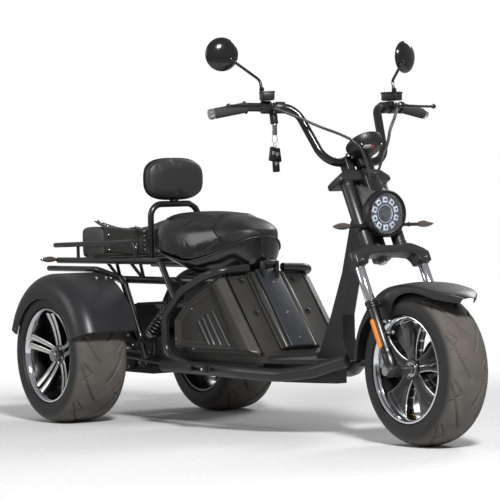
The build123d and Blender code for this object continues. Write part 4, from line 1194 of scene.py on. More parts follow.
@dataclass
class Headlight:
    """Round lamp with a projector, a ring of square windows, a dark bezel and a ridged shroud."""

    up: float = 0.506
    out: float = 0.092

    def place(self, ahead: float, side: float = 0.0, height: float = 0.0) -> Vector:
        """Place from the lamp's rim, ahead, aside and up."""
        return on_steer(self.up, self.out) + Vector((ahead, side, height))

    def polar(self, ahead: float, radius: float, turn: float) -> Vector:
        """Place from the lamp's rim at a radius and a turn about its axis."""
        return self.place(ahead, radius * math.cos(turn), radius * math.sin(turn))

    def lamp(self) -> None:
        """Make the reflector, windows, projector and lens."""
        axis = frame_at(self.place(0), (1, 0, 0), (0, 1, 0))
        shape = Shape(Finishes.PLASTIC_GLOSS)
        bowl = [(0, -0.026), (0.058, -0.022), (0.0655, -0.004), (0.0655, 0.0005), (0.0605, 0.0005),
                (0.056, -0.012), (0.024, -0.014), (0.022, -0.02), (0, -0.02)]
        shape.lathe(bowl, axis, 96, closed=False)
        shape.use(Finishes.CHROME)
        shape.lathe([(0.0225, -0.014), (0.0265, -0.008), (0.0285, -0.008), (0.0285, -0.014)], axis, 64)
        shape.lathe([(0.0572, -0.011), (0.0602, -0.001), (0.0615, -0.001), (0.0595, -0.012)], axis, 96)
        for turn in turns(10, 90):
            tangent = Vector((0, -math.sin(turn), math.cos(turn)))
            frame = frame_at(self.polar(-0.0105, 0.0435, turn), (1, 0, 0), tangent)
            shape.use(Finishes.CHROME).block((0.0205, 0.0205, 0.006), frame, 0.0018)
            shape.use(Finishes.LED).block((0.0150, 0.0150, 0.0042),
                                          frame @ Matrix.Translation((0, 0, 0.0022)), 0.002)
            shape.use(Finishes.PLASTIC_GLOSS)
            shape.block((0.0085, 0.0085, 0.003), frame @ Matrix.Translation((0, 0, 0.0034)), 0.001)
        shape.use(Finishes.PLASTIC_GLOSS).ball(self.place(-0.016), 0.0205, (0.55, 1, 1), 32)
        shape.piece("headlight_optics", Body.STEERING, "lamp_glass", ["headlight"])
        glass = Shape(Finishes.CLEAR)
        dome = [(0.0, 0.0105), (0.03, 0.0095), (0.052, 0.006), (0.0645, 0.0015), (0.0645, -0.0005),
                (0.0525, 0.004), (0.03, 0.0075), (0.0, 0.0085)]
        glass.lathe(dome, axis, 96, closed=False)
        glass.piece("headlight_lens", Body.STEERING, "lamp_glass")

    def shroud(self) -> None:
        """Make the bezel, the bowl behind it, the ridge and the grey wings."""
        axis = frame_at(self.place(0), (1, 0, 0), (0, 1, 0))
        shape = Shape(Finishes.PLASTIC)
        bezel = [(0.0662, -0.005), (0.0662, 0.003), (0.0675, 0.0058), (0.0715, 0.006), (0.0745, 0.001),
                 (0.0745, -0.018), (0.070, -0.036), (0.056, -0.040), (0, -0.040), (0, -0.030),
                 (0.060, -0.030)]
        shape.lathe(bezel, axis, 112, closed=False)
        ridge = [(-0.028, 0.0), (-0.028, 0.100), (-0.020, 0.112), (0.020, 0.112), (0.028, 0.100),
                 (0.028, 0.0), (0.020, -0.012), (-0.020, -0.012)]
        frame = frame_at(on_steer(0.548, 0.048), FACE_DIRECTION, (0, 1, 0))
        shape.plate(ridge, 0.034, frame, 0.004, 3)
        for _, sign in SIDES:
            rings = []
            for share in (0.0, 0.25, 0.5, 0.75, 1.0):
                top = on_steer(0.634 - 0.008 * share, 0.044 + 0.006 * share, sign * 0.043)
                foot = self.polar(-0.012 - 0.022 * (1 - share), 0.071,
                                  math.radians(90 - sign * (12 + 76 * share)))
                middle = top.lerp(foot, 0.5) + Vector((0.0, 0.0, 0.004))
                rings.append([top, middle, foot, foot - Vector((0.006, 0, 0.0)),
                              middle - Vector((0.008, 0, 0.004)), top - Vector((0.006, 0, 0.002))])
            shape.use(Finishes.WING).loft(rings)
        shape.use(Finishes.PLASTIC)
        cheek = [(-0.040, -0.072), (-0.040, 0.070), (0.040, 0.070), (0.040, -0.072)]
        back = frame_at(on_steer(0.560, 0.031), FACE_DIRECTION, (0, 1, 0))
        shape.plate(cheek, 0.030, back, 0.005, 3)
        shape.piece("headlight_housing", Body.STEERING, "shroud_black", ["headlight_shroud"])

    def signals(self) -> None:
        """Make the two front turn signals."""
        shape = Shape(Finishes.PLASTIC)
        up, out = 0.482, 0.060
        for _, sign in SIDES:
            shape.use(Finishes.PLASTIC).rod(on_steer(up, out, sign * 0.052), on_steer(up, out, sign * 0.135),
                                            0.0058)
            shape.rod(on_steer(up, out, sign * 0.096), on_steer(up, out, sign * 0.1), 0.0075)
            signal_lamp(shape, on_steer(up, out, sign * 0.130), sign * 0.068)
        shape.piece("front_signal_lamps", Body.STEERING, "lamp_black", ["front_signals"])

    def build(self) -> None:
        """Make the headlight and its signals."""
        self.lamp()
        self.shroud()
        self.signals()


@dataclass
class Controls:
    """Grips, levers with their reservoirs, mirrors, display, cables and keys."""

    bar: Sequence[Point] = ((0.724, 0.026, 0.118), (0.927, 0.018, 0.160), (0.960, -0.035, 0.300),
                            (0.952, -0.068, 0.425))
    perch_share: float = 0.62

    def point(self, index: int, sign: int) -> Vector:
        """One of the handlebar's corner points on a side."""
        up, out, side = self.bar[index]
        return on_steer(up, out, sign * side)

    def grips(self) -> None:
        """Make the ribbed grips with their end caps."""
        shape = Shape(Finishes.GRIP)
        for _, sign in SIDES:
            end = self.point(3, sign)
            along_bar = (end - self.point(2, sign)).normalized()
            start = end - along_bar * 0.122
            frame = frame_at(start, along_bar, (0, 0, 1))
            profile = [(0.0142, 0.0), (0.0205, 0.0), (0.0205, 0.003), (0.0168, 0.006)]
            ribs = 15
            for index in range(ribs):
                foot = 0.008 + 0.100 * index / ribs
                profile += [(0.0162, foot), (0.0172, foot + 0.0012), (0.0172, foot + 0.0045),
                            (0.0162, foot + 0.0055)]
            profile += [(0.0165, 0.112), (0.0142, 0.112)]
            shape.use(Finishes.GRIP).lathe(profile, frame, 40)
            shape.use(Finishes.CHROME)
            shape.lathe([(0, 0.112), (0.0168, 0.112), (0.0175, 0.116), (0.0165, 0.125), (0.010, 0.1275),
                         (0, 0.1275)],
                        frame, 40, closed=False)
        shape.piece("bar_grips", Body.STEERING, "grip_rubber", ["grips"], crease=50)

    def levers(self) -> None:
        """Make the perches, reservoirs and bent levers."""
        shape = Shape(Finishes.PLASTIC)
        for _, sign in SIDES:
            start, end = self.point(1, sign), self.point(2, sign)
            along_bar = (end - start).normalized()
            place = start + (end - start) * self.perch_share
            shape.use(Finishes.PLASTIC)
            shape.rod(place - along_bar * 0.0165, place + along_bar * 0.0165, 0.0205, bevel=0.003)
            shape.rod(place - along_bar * 0.062, place - along_bar * 0.030, 0.019, bevel=0.003)
            pivot = place + Vector((0.036, 0, 0.003))
            shape.rod(place + Vector((0.010, 0, 0)), pivot, 0.0115, bevel=0.002)
            shape.rod(pivot - Vector((0, 0, 0.010)), pivot + Vector((0, 0, 0.010)), 0.009)
            shape.bolt(pivot + Vector((0, 0, 0.010)), (0, 0, 1), 0.005)
            lid = frame_at(place + Vector((0.008, 0, 0.0345)), (0, 0, 1), along_bar)
            shape.block((0.040, 0.060, 0.026), lid, 0.005, 3)
            shape.block((0.042, 0.062, 0.006), lid @ Matrix.Translation((0, 0, 0.013)), 0.002, 2)
            for shift in (-0.024, 0.024):
                shape.bolt(lid @ Vector((0, shift, 0.016)), (0, 0, 1), 0.0032)
            ball = on_steer(0.938, 0.010, sign * 0.405)
            bend = pivot.lerp(ball, 0.35) + Vector((0.012, 0, 0.0))
            points = [pivot, pivot.lerp(bend, 0.5) + Vector((0.004, 0, 0)), bend, bend.lerp(ball, 0.5), ball]
            shape.use(Finishes.PLASTIC_GLOSS).path(points, 0.0052, 4, 8)
            shape.ball(ball, 0.0085)
        shape.piece("brake_lever_sets", Body.STEERING, "control_black", ["brake_levers"])

    def mirrors(self) -> None:
        """Make the round mirrors on their bent stems."""
        for name, sign in SIDES:
            shape = Shape(Finishes.PLASTIC_GLOSS)
            centre = on_steer(1.130, 0.003, sign * 0.364)
            turn = math.radians(18.5)
            facing = Vector((math.cos(turn), sign * math.sin(turn), 0))
            frame = frame_at(centre, facing, (0, 1, 0))
            shell = [(0.0, 0.0195), (0.018, 0.0185), (0.034, 0.0145), (0.045, 0.0075), (0.052, 0.0015),
                     (0.0538, -0.003), (0.0535, -0.006), (0.050, -0.0055), (0.050, -0.003), (0, -0.003)]
            shape.lathe(shell, frame, 72, closed=False)
            shape.use(Finishes.MIRROR)
            shape.lathe([(0, -0.0045), (0.0498, -0.0045), (0.0498, -0.003), (0, -0.003)], frame, 72,
                        closed=False)
            stem = [on_steer(0.995, 0.011, sign * 0.262), on_steer(1.012, 0.015, sign * 0.262),
                    on_steer(1.029, 0.018, sign * 0.263), on_steer(1.046, 0.016, sign * 0.280),
                    on_steer(1.085, 0.012, sign * 0.318), on_steer(1.108, 0.009, sign * 0.341)]
            shape.use(Finishes.PLASTIC_GLOSS).path(stem, 0.0048, 4, 8)
            shape.rod(stem[0] - Vector((0, 0, 0.004)), stem[0] + Vector((0, 0, 0.009)), 0.0085, segments=6)
            shape.ball(stem[-1], 0.0095)
            shape.piece(f"mirror_head_{name}", Body.STEERING, "mirror_black", [f"mirror_{name}"])

    def display(self) -> None:
        """Make the round display pod on its bracket."""
        tilt = math.radians(35)
        facing = Vector((-math.sin(tilt), 0, math.cos(tilt)))
        frame = frame_at(on_steer(0.760, 0.092), facing, (0, 1, 0))
        shape = Shape(Finishes.PLASTIC)
        pod = [(0, -0.0395), (0.030, -0.0395), (0.046, -0.034), (0.0565, -0.022), (0.0605, -0.008),
               (0.0605, -0.002), (0.058, 0.0), (0.054, 0.0), (0.053, -0.002), (0, -0.002)]
        shape.lathe(pod, frame, 80, closed=False)
        shape.use(Finishes.PLASTIC_GLOSS)
        shape.lathe([(0, -0.001), (0.0528, -0.001), (0.0528, -0.003), (0, -0.003)], frame, 80, closed=False)
        for angle in (40, 140, 220, 320):
            spot = frame @ Vector((0.050 * math.cos(math.radians(angle)),
                                   0.050 * math.sin(math.radians(angle)), -0.031))
            shape.bolt(spot, -facing, 0.0032)
        label = frame @ Matrix.Translation((-0.020, -0.030, -0.0385))
        shape.use(Finishes.LABEL).block((0.026, 0.016, 0.0025), label, 0.0008, 1)
        shape.use(Finishes.RED).block((0.009, 0.012, 0.003), label @ Matrix.Translation((0.021, 0, 0)),
                                      0.0008, 1)
        neck = frame_at(on_steer(0.720, 0.060), (-LEAN, 0, RISE), (0, 1, 0))
        shape.use(Finishes.PLASTIC).block((0.036, 0.020, 0.062), neck, 0.003, 2)
        shape.rod(on_steer(0.702, 0.030), on_steer(0.702, 0.068), 0.009)
        shape.piece("display_pod", Body.STEERING, "display_black", ["display"])

    def cables(self) -> None:
        """Make the two sheathed cables with their spiral wrap."""
        routes = {
            "right": [(0.925, 0.020, -0.243), (0.874, 0.052, -0.186), (0.828, 0.072, -0.134),
                      (0.782, 0.108, -0.092),
                      (0.738, 0.134, -0.062), (0.690, 0.122, -0.032), (0.634, 0.078, -0.012)],
            "left": [(0.925, 0.020, 0.243), (0.872, 0.058, 0.190), (0.822, 0.084, 0.138),
                     (0.780, 0.118, 0.094),
                     (0.736, 0.134, 0.062), (0.688, 0.122, 0.030), (0.634, 0.078, 0.012)],
        }
        shape = Shape(Finishes.PLASTIC)
        for route in routes.values():
            points = [on_steer(*point) for point in route]
            shape.use(Finishes.PLASTIC).path(points, 0.0042, 3, 10)
            line = centre_line(points, 24)
            shape.use(Finishes.WRAP).path(helix(line, 0.0045, 0.0085), 0.0011, 1, 2)
        shape.piece("brake_cable_wrap", Body.STEERING, "cable_sheath", ["brake_cables"], crease=60)

    def keys(self) -> None:
        """Make the ignition lock with the keys and fobs that hang from it."""
        shape = Shape(Finishes.PLASTIC)
        top = on_steer(0.936, -0.012, -0.226)
        foot = top + Vector((0.008, 0, -0.044))
        shape.rod(top, foot, 0.0125, bevel=0.002)
        shape.use(Finishes.STEEL).rod(foot, foot + Vector((0, 0, -0.006)), 0.0085)
        shape.block((0.003, 0.018, 0.030), frame_at(foot + Vector((0, 0, -0.020)), (0, 0, 1), (1, 0, 0)),
                    0.001)
        ring = frame_at(foot + Vector((0, 0, -0.048)), (1, 0.3, 0), (0, 0, 1))
        shape.lathe([(0.0135 + 0.001 * math.cos(t), 0.001 * math.sin(t)) for t in
                     [2 * math.pi * k / 8 for k in range(8)]], ring, 32)
        for side, drop, lean in ((-0.010, 0.062, -0.16), (0.008, 0.066, 0.14), (0.002, 0.096, 0.04)):
            start = foot + Vector((0, side * 0.4, -drop))
            hang = Vector((0.0, lean, -1)).normalized()
            shape.use(Finishes.STEEL).rod(start, start + hang * 0.012, 0.0015, segments=8)
            frame = frame_at(start + hang * 0.034, hang, (0, 1, 0))
            shape.use(Finishes.PLASTIC_GLOSS).block((0.024, 0.011, 0.046), frame, 0.004, 3)
            shape.use(Finishes.CHROME).block((0.016, 0.0125, 0.012),
                                             frame @ Matrix.Translation((0, 0, -0.004)), 0.002)
        shape.piece("ignition_key_set", Body.STEERING, "key_steel", ["ignition_keys"])

    def build(self) -> None:
        """Make the controls."""
        self.grips()
        self.levers()
        self.mirrors()
        self.display()
        self.cables()
        self.keys()


def centre_line(points: Sequence[Vector], resolution: int) -> list[Vector]:
    """Points read from the smooth line through a route's control points.

    Args:
        points: The route's control points.
        resolution: Steps between them.

    Returns:
        Places along the smooth line.
    """
    mesh = curve_mesh(smooth_curve(points, resolution))
    line = [vert.co.copy() for vert in mesh.vertices]
    bpy.data.meshes.remove(mesh)
    return line


def helix(line: Sequence[Vector], radius: float, pitch: float, per_turn: int = 8) -> list[Vector]:
    """Points of a helix about a line.

    Args:
        line: Close places along the line.
        radius: The helix's radius.
        pitch: Its advance for each turn.
        per_turn: Points for each turn.

    Returns:
        Places along the helix.
    """
    places = []
    travelled, target = 0.0, 0.0
    side = None
    for start, end in zip(line, line[1:]):
        step = (end - start).length
        if step < 1e-9:
            continue
        direction = (end - start) / step
        side = side - direction * side.dot(direction) if side else direction.orthogonal()
        side = side.normalized()
        other = direction.cross(side)
        while target <= travelled + step:
            turn = 2 * math.pi * target / pitch
            centre = start + direction * (target - travelled)
            places.append(centre + side * radius * math.cos(turn) + other * radius * math.sin(turn))
            target += pitch / per_turn
        travelled += step
    return places


# Seat, pad and bag


def puff(piece: bpy.types.Object, voxel: float, pressure: float, cap: float) -> None:
    """Swell a closed cushion as cloth under pressure, and keep the result in its mesh.

    Args:
        piece: The cushion, which keeps its materials.
        voxel: Size of the even faces that it gets first.
        pressure: Pressure inside the cloth.
        cap: How far a point may move.
    """
    remesh = piece.modifiers.new("even", "REMESH")
    remesh.mode = "VOXEL"
    remesh.voxel_size = voxel
    settle(piece)
    rest = [vert.co.copy() for vert in piece.data.vertices]
    cloth = piece.modifiers.new("cloth", "CLOTH")
    cloth.settings.use_pressure = True
    cloth.settings.uniform_pressure_force = pressure
    cloth.settings.effector_weights.gravity = 0
    cloth.point_cache.frame_start = 1
    cloth.point_cache.frame_end = 20
    scene = bpy.context.scene
    for frame in range(1, 21):
        scene.frame_set(frame)
    settle(piece)
    for vert, start in zip(piece.data.vertices, rest):
        move = vert.co - start
        if move.length > cap:
            vert.co = start + move * (cap / move.length)
    scene.frame_set(1)


def settle(piece: bpy.types.Object) -> None:
    """Turn a piece's modifiers into its mesh and keep its finishes."""
    finishes = list(piece.data.materials)
    graph = bpy.context.evaluated_depsgraph_get()
    mesh = bpy.data.meshes.new_from_object(piece.evaluated_get(graph))
    piece.modifiers.clear()
    piece.data = mesh
    mesh.materials.clear()
    for finish in finishes:
        mesh.materials.append(finish)
    mesh.shade_smooth()


def refine(piece: bpy.types.Object) -> None:
    """Smooth a soft piece by one subdivision, and keep the result in its mesh."""
    smooth = piece.modifiers.new("fine", "SUBSURF")
    smooth.levels = smooth.render_levels = 1
    settle(piece)


@dataclass
class Seat:
    """Saddle: a crowned cushion with a sewn top, piping along its lower edge, and its pan."""

    rear: float = 0.236
    nose: float = 0.764
    # Rows: ahead of the axle, half width, top, piping height, pan's lowest height
    sections: Sequence[Point] = ((0.236, 0.020, 0.675, 0.632, 0.600), (0.262, 0.092, 0.707, 0.618, 0.597),
                                 (0.310, 0.148, 0.725, 0.604, 0.588), (0.370, 0.170, 0.731, 0.594, 0.572),
                                 (0.440, 0.172, 0.732, 0.580, 0.548), (0.525, 0.163, 0.728, 0.564, 0.524),
                                 (0.590, 0.147, 0.724, 0.574, 0.520), (0.640, 0.132, 0.721, 0.587, 0.520),
                                 (0.690, 0.113, 0.713, 0.603, 0.524), (0.730, 0.083, 0.698, 0.626, 0.536),
                                 (0.752, 0.052, 0.683, 0.640, 0.553), (0.764, 0.018, 0.664, 0.645, 0.575))
    inset: float = 0.003
    quilt_rear: float = 0.345
    quilt_front: float = 0.600
    quilt_width: float = 0.045
    quilt_length: float = 0.0425
    channel: float = 0.006

    def read(self, ahead: float) -> tuple[float, float, float, float]:
        """Half width, top, piping height and pan's bottom at a distance ahead."""
        return tuple(along_line(self.sections, ahead, column) for column in (1, 2, 3, 4))

    def ring(self, ahead: float) -> list[Vector]:
        """Section of the cushion, from its flat base round its crowned top."""
        half, top, pipe, _ = self.read(ahead)
        half, top = half - self.inset, top - self.inset
        places = []
        count = 40
        rise = top - pipe
        for index in range(count):
            turn = math.pi * index / (count - 1)
            c, s = math.cos(turn), math.sin(turn)
            y = math.copysign(abs(c) ** 0.62, c) * half
            z = pipe + rise * s ** 0.72
            places.append(at(ahead, y, z))
        for index in range(1, 12):
            share = index / 12
            places.append(at(ahead, -half + 2 * half * share, pipe + 0.002))
        return places

    def cushion(self) -> None:
        """Make the cushion, with its matt nose part and glossy sides."""
        shape = Shape(Finishes.SEAT, Finishes.SEAT_MATT)
        shape.loft([self.ring(ahead) for ahead in eased(self.rear, self.nose, 44)])
        piece = shape.piece("seat_saddle", Body.SEAT, "seat_vinyl", ["seat_cushion"], crease=70)
        puff(piece, 0.006, 3.0, 0.005)
        self.seams(piece)

    def seams(self, piece: bpy.types.Object) -> None:
        """Press the sewn channels into the top and step the nose part down."""
        refine(piece)
        mesh = piece.data
        for vert in mesh.vertices:
            ahead, side, height = vert.co.x + ORIGIN_AHEAD, vert.co.y, vert.co.z
            half, top, pipe, _ = self.read(ahead)
            level = smoothstep(height, pipe + (top - pipe) * 0.55, pipe + (top - pipe) * 0.8)
            nose_line = self.nose_line((height - pipe) / (top - pipe))
            drop = 0.0
            if level > 0:
                inner = 1 - smoothstep(abs(side), 0.098, 0.112)
                quilt = 0.0
                if self.quilt_rear < ahead < self.quilt_front:
                    half_width, half_length = self.quilt_width / 2, self.quilt_length / 2
                    lengthwise = abs((side + half_width) % self.quilt_width - half_width)
                    crosswise = abs((ahead - self.quilt_rear) % self.quilt_length - half_length)
                    quilt = max(1 - smoothstep(lengthwise, 0.0, self.channel),
                                smoothstep(crosswise, half_length - 0.00575, half_length))
                drop += 0.0042 * level * inner * quilt
                rim = max(1 - smoothstep(abs(abs(side) - 0.112), 0.0015, 0.006), 0)
                drop += (0.0035 * rim * level * smoothstep(ahead, 0.31, 0.33)
                         * (1 - smoothstep(ahead, 0.60, 0.62)))
            seam = 1 - smoothstep(abs(ahead - nose_line), 0.0015, 0.006)
            drop += 0.004 * seam * smoothstep(height, pipe + 0.02, pipe + 0.05)
            drop += (0.009 * smoothstep(ahead, nose_line, nose_line + 0.012)
                     * smoothstep(height, pipe + 0.03, top))
            vert.co.z -= drop
            if abs(side) > 1e-6 and seam > 0:
                vert.co.y -= math.copysign(0.003 * seam, side)
        for face in mesh.polygons:
            ahead = face.center.x + ORIGIN_AHEAD
            half, top, pipe, _ = self.read(ahead)
            nose_line = self.nose_line((face.center.z - pipe) / (top - pipe))
            topside = face.center.z > pipe + (top - pipe) * 0.72 and abs(face.center.y) < 0.113
            face.material_index = 1 if ahead > nose_line or topside else 0

    def nose_line(self, rise: float) -> float:
        """Distance ahead of the seam behind the nose, at a share of the cushion's height."""
        return 0.600 + 0.140 * (1 - min(1.0, max(0.0, rise))) ** 1.2

    def edge(self, outward: float, lift: float, count: int = 40) -> list[Vector]:
        """Line round the seat's lower edge."""
        right = []
        for index, ahead in enumerate(eased(self.rear, self.nose, count + 1)):
            half, _, pipe, _ = self.read(ahead)
            right.append((ahead, half + outward if 0 < index < count else 0.0, pipe + lift))
        return [at(a, -h, z) for a, h, z in right] + [at(a, h, z) for a, h, z in reversed(right[1:-1])]

    def pan(self) -> None:
        """Make the pan under the cushion, its piping and its hinge arm."""
        shape = Shape(Finishes.PLASTIC_GLOSS)
        rings = []
        for ahead in eased(self.rear, self.nose, 36):
            half, _, pipe, low = self.read(ahead)
            half -= 0.0015
            ring = [at(ahead, half, pipe - 0.001), at(ahead, half * 0.5, pipe - 0.0005),
                    at(ahead, -half * 0.5, pipe - 0.0005), at(ahead, -half, pipe - 0.001)]
            under = []
            for step in range(1, 9):
                share = step / 9
                width = 1 - 0.36 * share ** 1.4 if share < 0.8 else 0.74 - 1.1 * (share - 0.8)
                under.append((half * width, pipe - 0.001 - (pipe - low) * min(1, share * 1.15)))
            ring += [at(ahead, -y, z) for y, z in under] + [at(ahead, y, z) for y, z in reversed(under)]
            rings.append(ring)
        shape.loft(rings)
        shape.use(Finishes.SEAT_MATT).path(self.edge(0.0005, 0.0), 0.0034, 2, 4, cyclic=True)
        shape.use(Finishes.FRAME)
        shape.block((0.100, 0.038, 0.011), Matrix.Translation(at(0.738, 0, 0.557)), 0.002)
        hinge = at(*SEAT_HINGE)
        shape.rod(hinge - Vector((0, 0.02, 0)), hinge + Vector((0, 0.02, 0)), 0.0098)
        shape.piece("seat_shell", Body.SEAT, "seat_base_black", ["seat_pan"])

    def build(self) -> None:
        """Make the seat."""
        self.cushion()
        self.pan()


@dataclass
class Backrest:
    """Backrest: a round-cornered pad with a rim seam on its hoop."""

    ahead: float = 0.200
    low: float = 0.777
    high: float = 0.924
    half: float = 0.121

    def build(self) -> None:
        """Make the pad, its rim and the round boss under it."""
        shape = Shape(Finishes.PAD)
        middle = (self.low + self.high) / 2
        height = (self.high - self.low) / 2
        rings = []
        depths = ((-0.026, 0.80), (-0.024, 0.93), (-0.016, 0.985), (-0.008, 0.975), (-0.004, 0.99),
                  (0.006, 0.985), (0.016, 0.955), (0.022, 0.89), (0.026, 0.75), (0.0275, 0.5))
        for depth, grow in depths:
            rings.append(oval(at(self.ahead + depth, 0, middle), (0, 1, 0), (0, 0, 1),
                              self.half * grow - 0.001, height * grow - 0.001, 3.0, 56))
        shape.loft(rings)
        piece = shape.piece("backrest_cushion", Body.CHASSIS, "pad_vinyl", ["backrest_pad"], crease=80)
        puff(piece, 0.005, 3.0, 0.003)
        refine(piece)
        trim = Shape(Finishes.PLASTIC_GLOSS)
        ring = oval(at(self.ahead - 0.006, 0, middle), (0, 1, 0), (0, 0, 1), self.half - 0.0012,
                    height - 0.0012, 3.0, 56)
        trim.path(ring, 0.0028, 2, 4, cyclic=True)
        trim.use(Finishes.GLOSS_TUBE).rod(at(self.ahead, 0, 0.7725), at(self.ahead, 0, 0.776), 0.016)
        trim.piece("backrest_rim", Body.CHASSIS, "pad_vinyl")


@dataclass
class TailBag:
    """Leather bag on the rack: a sagging body, a flap, a studded strap and rivets."""

    back: float = -0.184
    front: float = -0.020
    half: float = 0.166
    low: float = 0.5745
    high: float = 0.680

    def top(self, side: float, share: float) -> float:
        """Height of the top at a distance from the middle and a share from back to front."""
        sag = 0.014 * math.cos(math.pi * min(1.0, abs(side) / self.half) / 2) ** 2
        return self.high - sag + 0.008 * math.sin(math.pi * share)

    def body(self) -> None:
        """Make the bag's body."""
        shape = Shape(Finishes.BAG)
        rings = []
        count = 30
        for index in range(count + 1):
            side = -self.half + 2 * self.half * index / count
            end = 1 - 0.10 * smoothstep(abs(side), self.half - 0.016, self.half)
            bulge = 0.004 * math.cos(math.pi * side / (2 * self.half))
            middle = (self.back + self.front) / 2
            reach = (self.front - self.back) / 2 * end + bulge
            ring = []
            for step in range(36):
                turn = 2 * math.pi * step / 36
                c, s = math.cos(turn), math.sin(turn)
                x = middle + math.copysign(abs(c) ** 0.30, c) * reach * (0.985 if s < 0 else 1.0)
                share = (x - self.back) / (self.front - self.back)
                tall = (self.top(side, share) - self.low) / 2 * (0.9 + 0.1 * end)
                z = self.low + tall + math.copysign(abs(s) ** 0.30, s) * tall
                ring.append(at(x, side, z))
            rings.append(ring)
        shape.loft(rings)
        piece = shape.piece("tail_bag_body", Body.CHASSIS, "bag_leather", ["tail_bag"], crease=70)
        refine(piece)

    def flap_place(self, share: float, across: float) -> Vector:
        """Place on the flap, from its rear lift over the top and down the front."""
        side = (2 * across - 1) * (self.half - 0.004)
        corner = smoothstep(abs(side), 0.05, self.half)
        if share < 0.5:
            t = share / 0.5
            x = self.back + 0.098 + (self.front - self.back - 0.094) * t
            lift = 0.016 * corner * (1 - t) ** 1.5
            return at(x, side, self.top(side, (x - self.back) / (self.front - self.back)) + 0.004 + lift)
        t = (share - 0.5) / 0.5
        x = self.front + 0.004 + 0.002 * math.sin(math.pi * t)
        return at(x, side, self.top(side, 1.0) + 0.0015 - (self.high - self.low - 0.020) * t)

    def flap(self) -> None:
        """Make the flap, its rivets, and the strap with studs."""
        # The flap's paler leather tone is painted light.
        shape = Shape(Finishes.FLAP_PAINTED_LIGHT)
        core = at((self.back + self.front) / 2, 0, self.low)
        shape.sheet(36, 40, self.flap_place, 0.0025, core)
        for _, sign in SIDES:
            for step in range(7):
                spot = self.flap_place(0.03 + 0.155 * step, 0.5 + sign * 0.455)
                normal = (0, 0, 1) if step < 4 else (1, 0, 0)
                shape.use(Finishes.CHROME).ball(spot + Vector(normal) * 0.003, 0.0042, segments=10)
        shape.use(Finishes.BAG)

        def strap(share: float, across: float) -> Vector:
            """Place on the strap."""
            spot = self.flap_place(0.05 + 0.93 * share, 0.5 + (across - 0.5) * 0.12)
            return spot + (Vector((0, 0, 0.0035)) if share < 0.48 else Vector((0.0035, 0, 0)))

        shape.sheet(30, 4, strap, 0.002, core)
        for step in range(9):
            spot = strap(0.08 + 0.105 * step, 0.5)
            normal = Vector((0, 0, 1)) if step < 4 else Vector((1, 0, 0))
            shape.use(Finishes.CHROME).ball(spot + normal * 0.002, 0.004, segments=10)
        shape.piece("tail_bag_flap", Body.CHASSIS, "bag_leather")

    def build(self) -> None:
        """Make the bag."""
        self.body()
        self.flap()


# Rear end and body


@dataclass
class RearFender:
    """Rear fender: a wide shell with a round shoulder, a flat side and a rolled edge."""

    name: str
    sign: int
    inside: float = 0.212
    outside: float = 0.4335
    radius: float = 0.287
    corner: float = 0.062
    skirt: float = 0.205
    front: float = 18.0
    rear: float = 160.0
    wall: float = 0.003

    @property
    def centre(self) -> Vector:
        """Middle of the wheel."""
        return at(0, self.sign * REAR_TRACK / 2, WHEEL_RADIUS)

    def section(self, share: float) -> tuple[float, float]:
        """Radius and distance from the middle plane, from the inner edge to the skirt's edge."""
        flat = self.outside - self.corner - self.inside
        arc = self.corner * math.pi / 2
        drop = self.radius - self.corner - self.skirt
        run = share * (flat + arc + drop)
        if run < flat:
            return self.radius, self.inside + run
        if run < flat + arc:
            turn = (run - flat) / self.corner
            return (self.radius - self.corner + self.corner * math.cos(turn),
                    self.outside - self.corner + self.corner * math.sin(turn))
        return self.radius - self.corner - (run - flat - arc), self.outside

    def place(self, share: float, across: float) -> Vector:
        """Place on the shell, from its front end to its rear end and across its section."""
        turn = math.radians(self.front + (self.rear - self.front) * share)
        radius, side = self.section(across)
        return Vector((self.centre.x + radius * math.cos(turn), self.sign * side,
                       self.centre.z + radius * math.sin(turn)))

    def build(self) -> None:
        """Make the fender with its rolled edge and bolts."""
        shape = Shape(Finishes.FENDER)
        shape.sheet(120, 56, self.place, self.wall, self.centre)
        rim = [self.place(0, k / 20) for k in range(21)] + [self.place(k / 60, 1) for k in range(1, 61)]
        rim += [self.place(1, 1 - k / 20) for k in range(1, 21)]
        shape.path([Vector(p).lerp(self.centre, 0.006) for p in rim], 0.0026, 2, 3)
        for share in (0.36, 0.62):
            for across in (0.06, 0.2):
                spot = self.place(share, across)
                outward = (spot - self.centre)
                outward.y = 0
                shape.bolt(spot, outward, 0.0055)
        shape.use(Finishes.CLEAR).ball(self.place(0.975, 0.95) - Vector((0, self.sign * 0.003, 0)), 0.005)
        shape.piece(f"rear_fender_shell_{self.name}", Body.CHASSIS, "fender_charcoal",
                    [f"rear_fender_{self.name}"], crease=50)


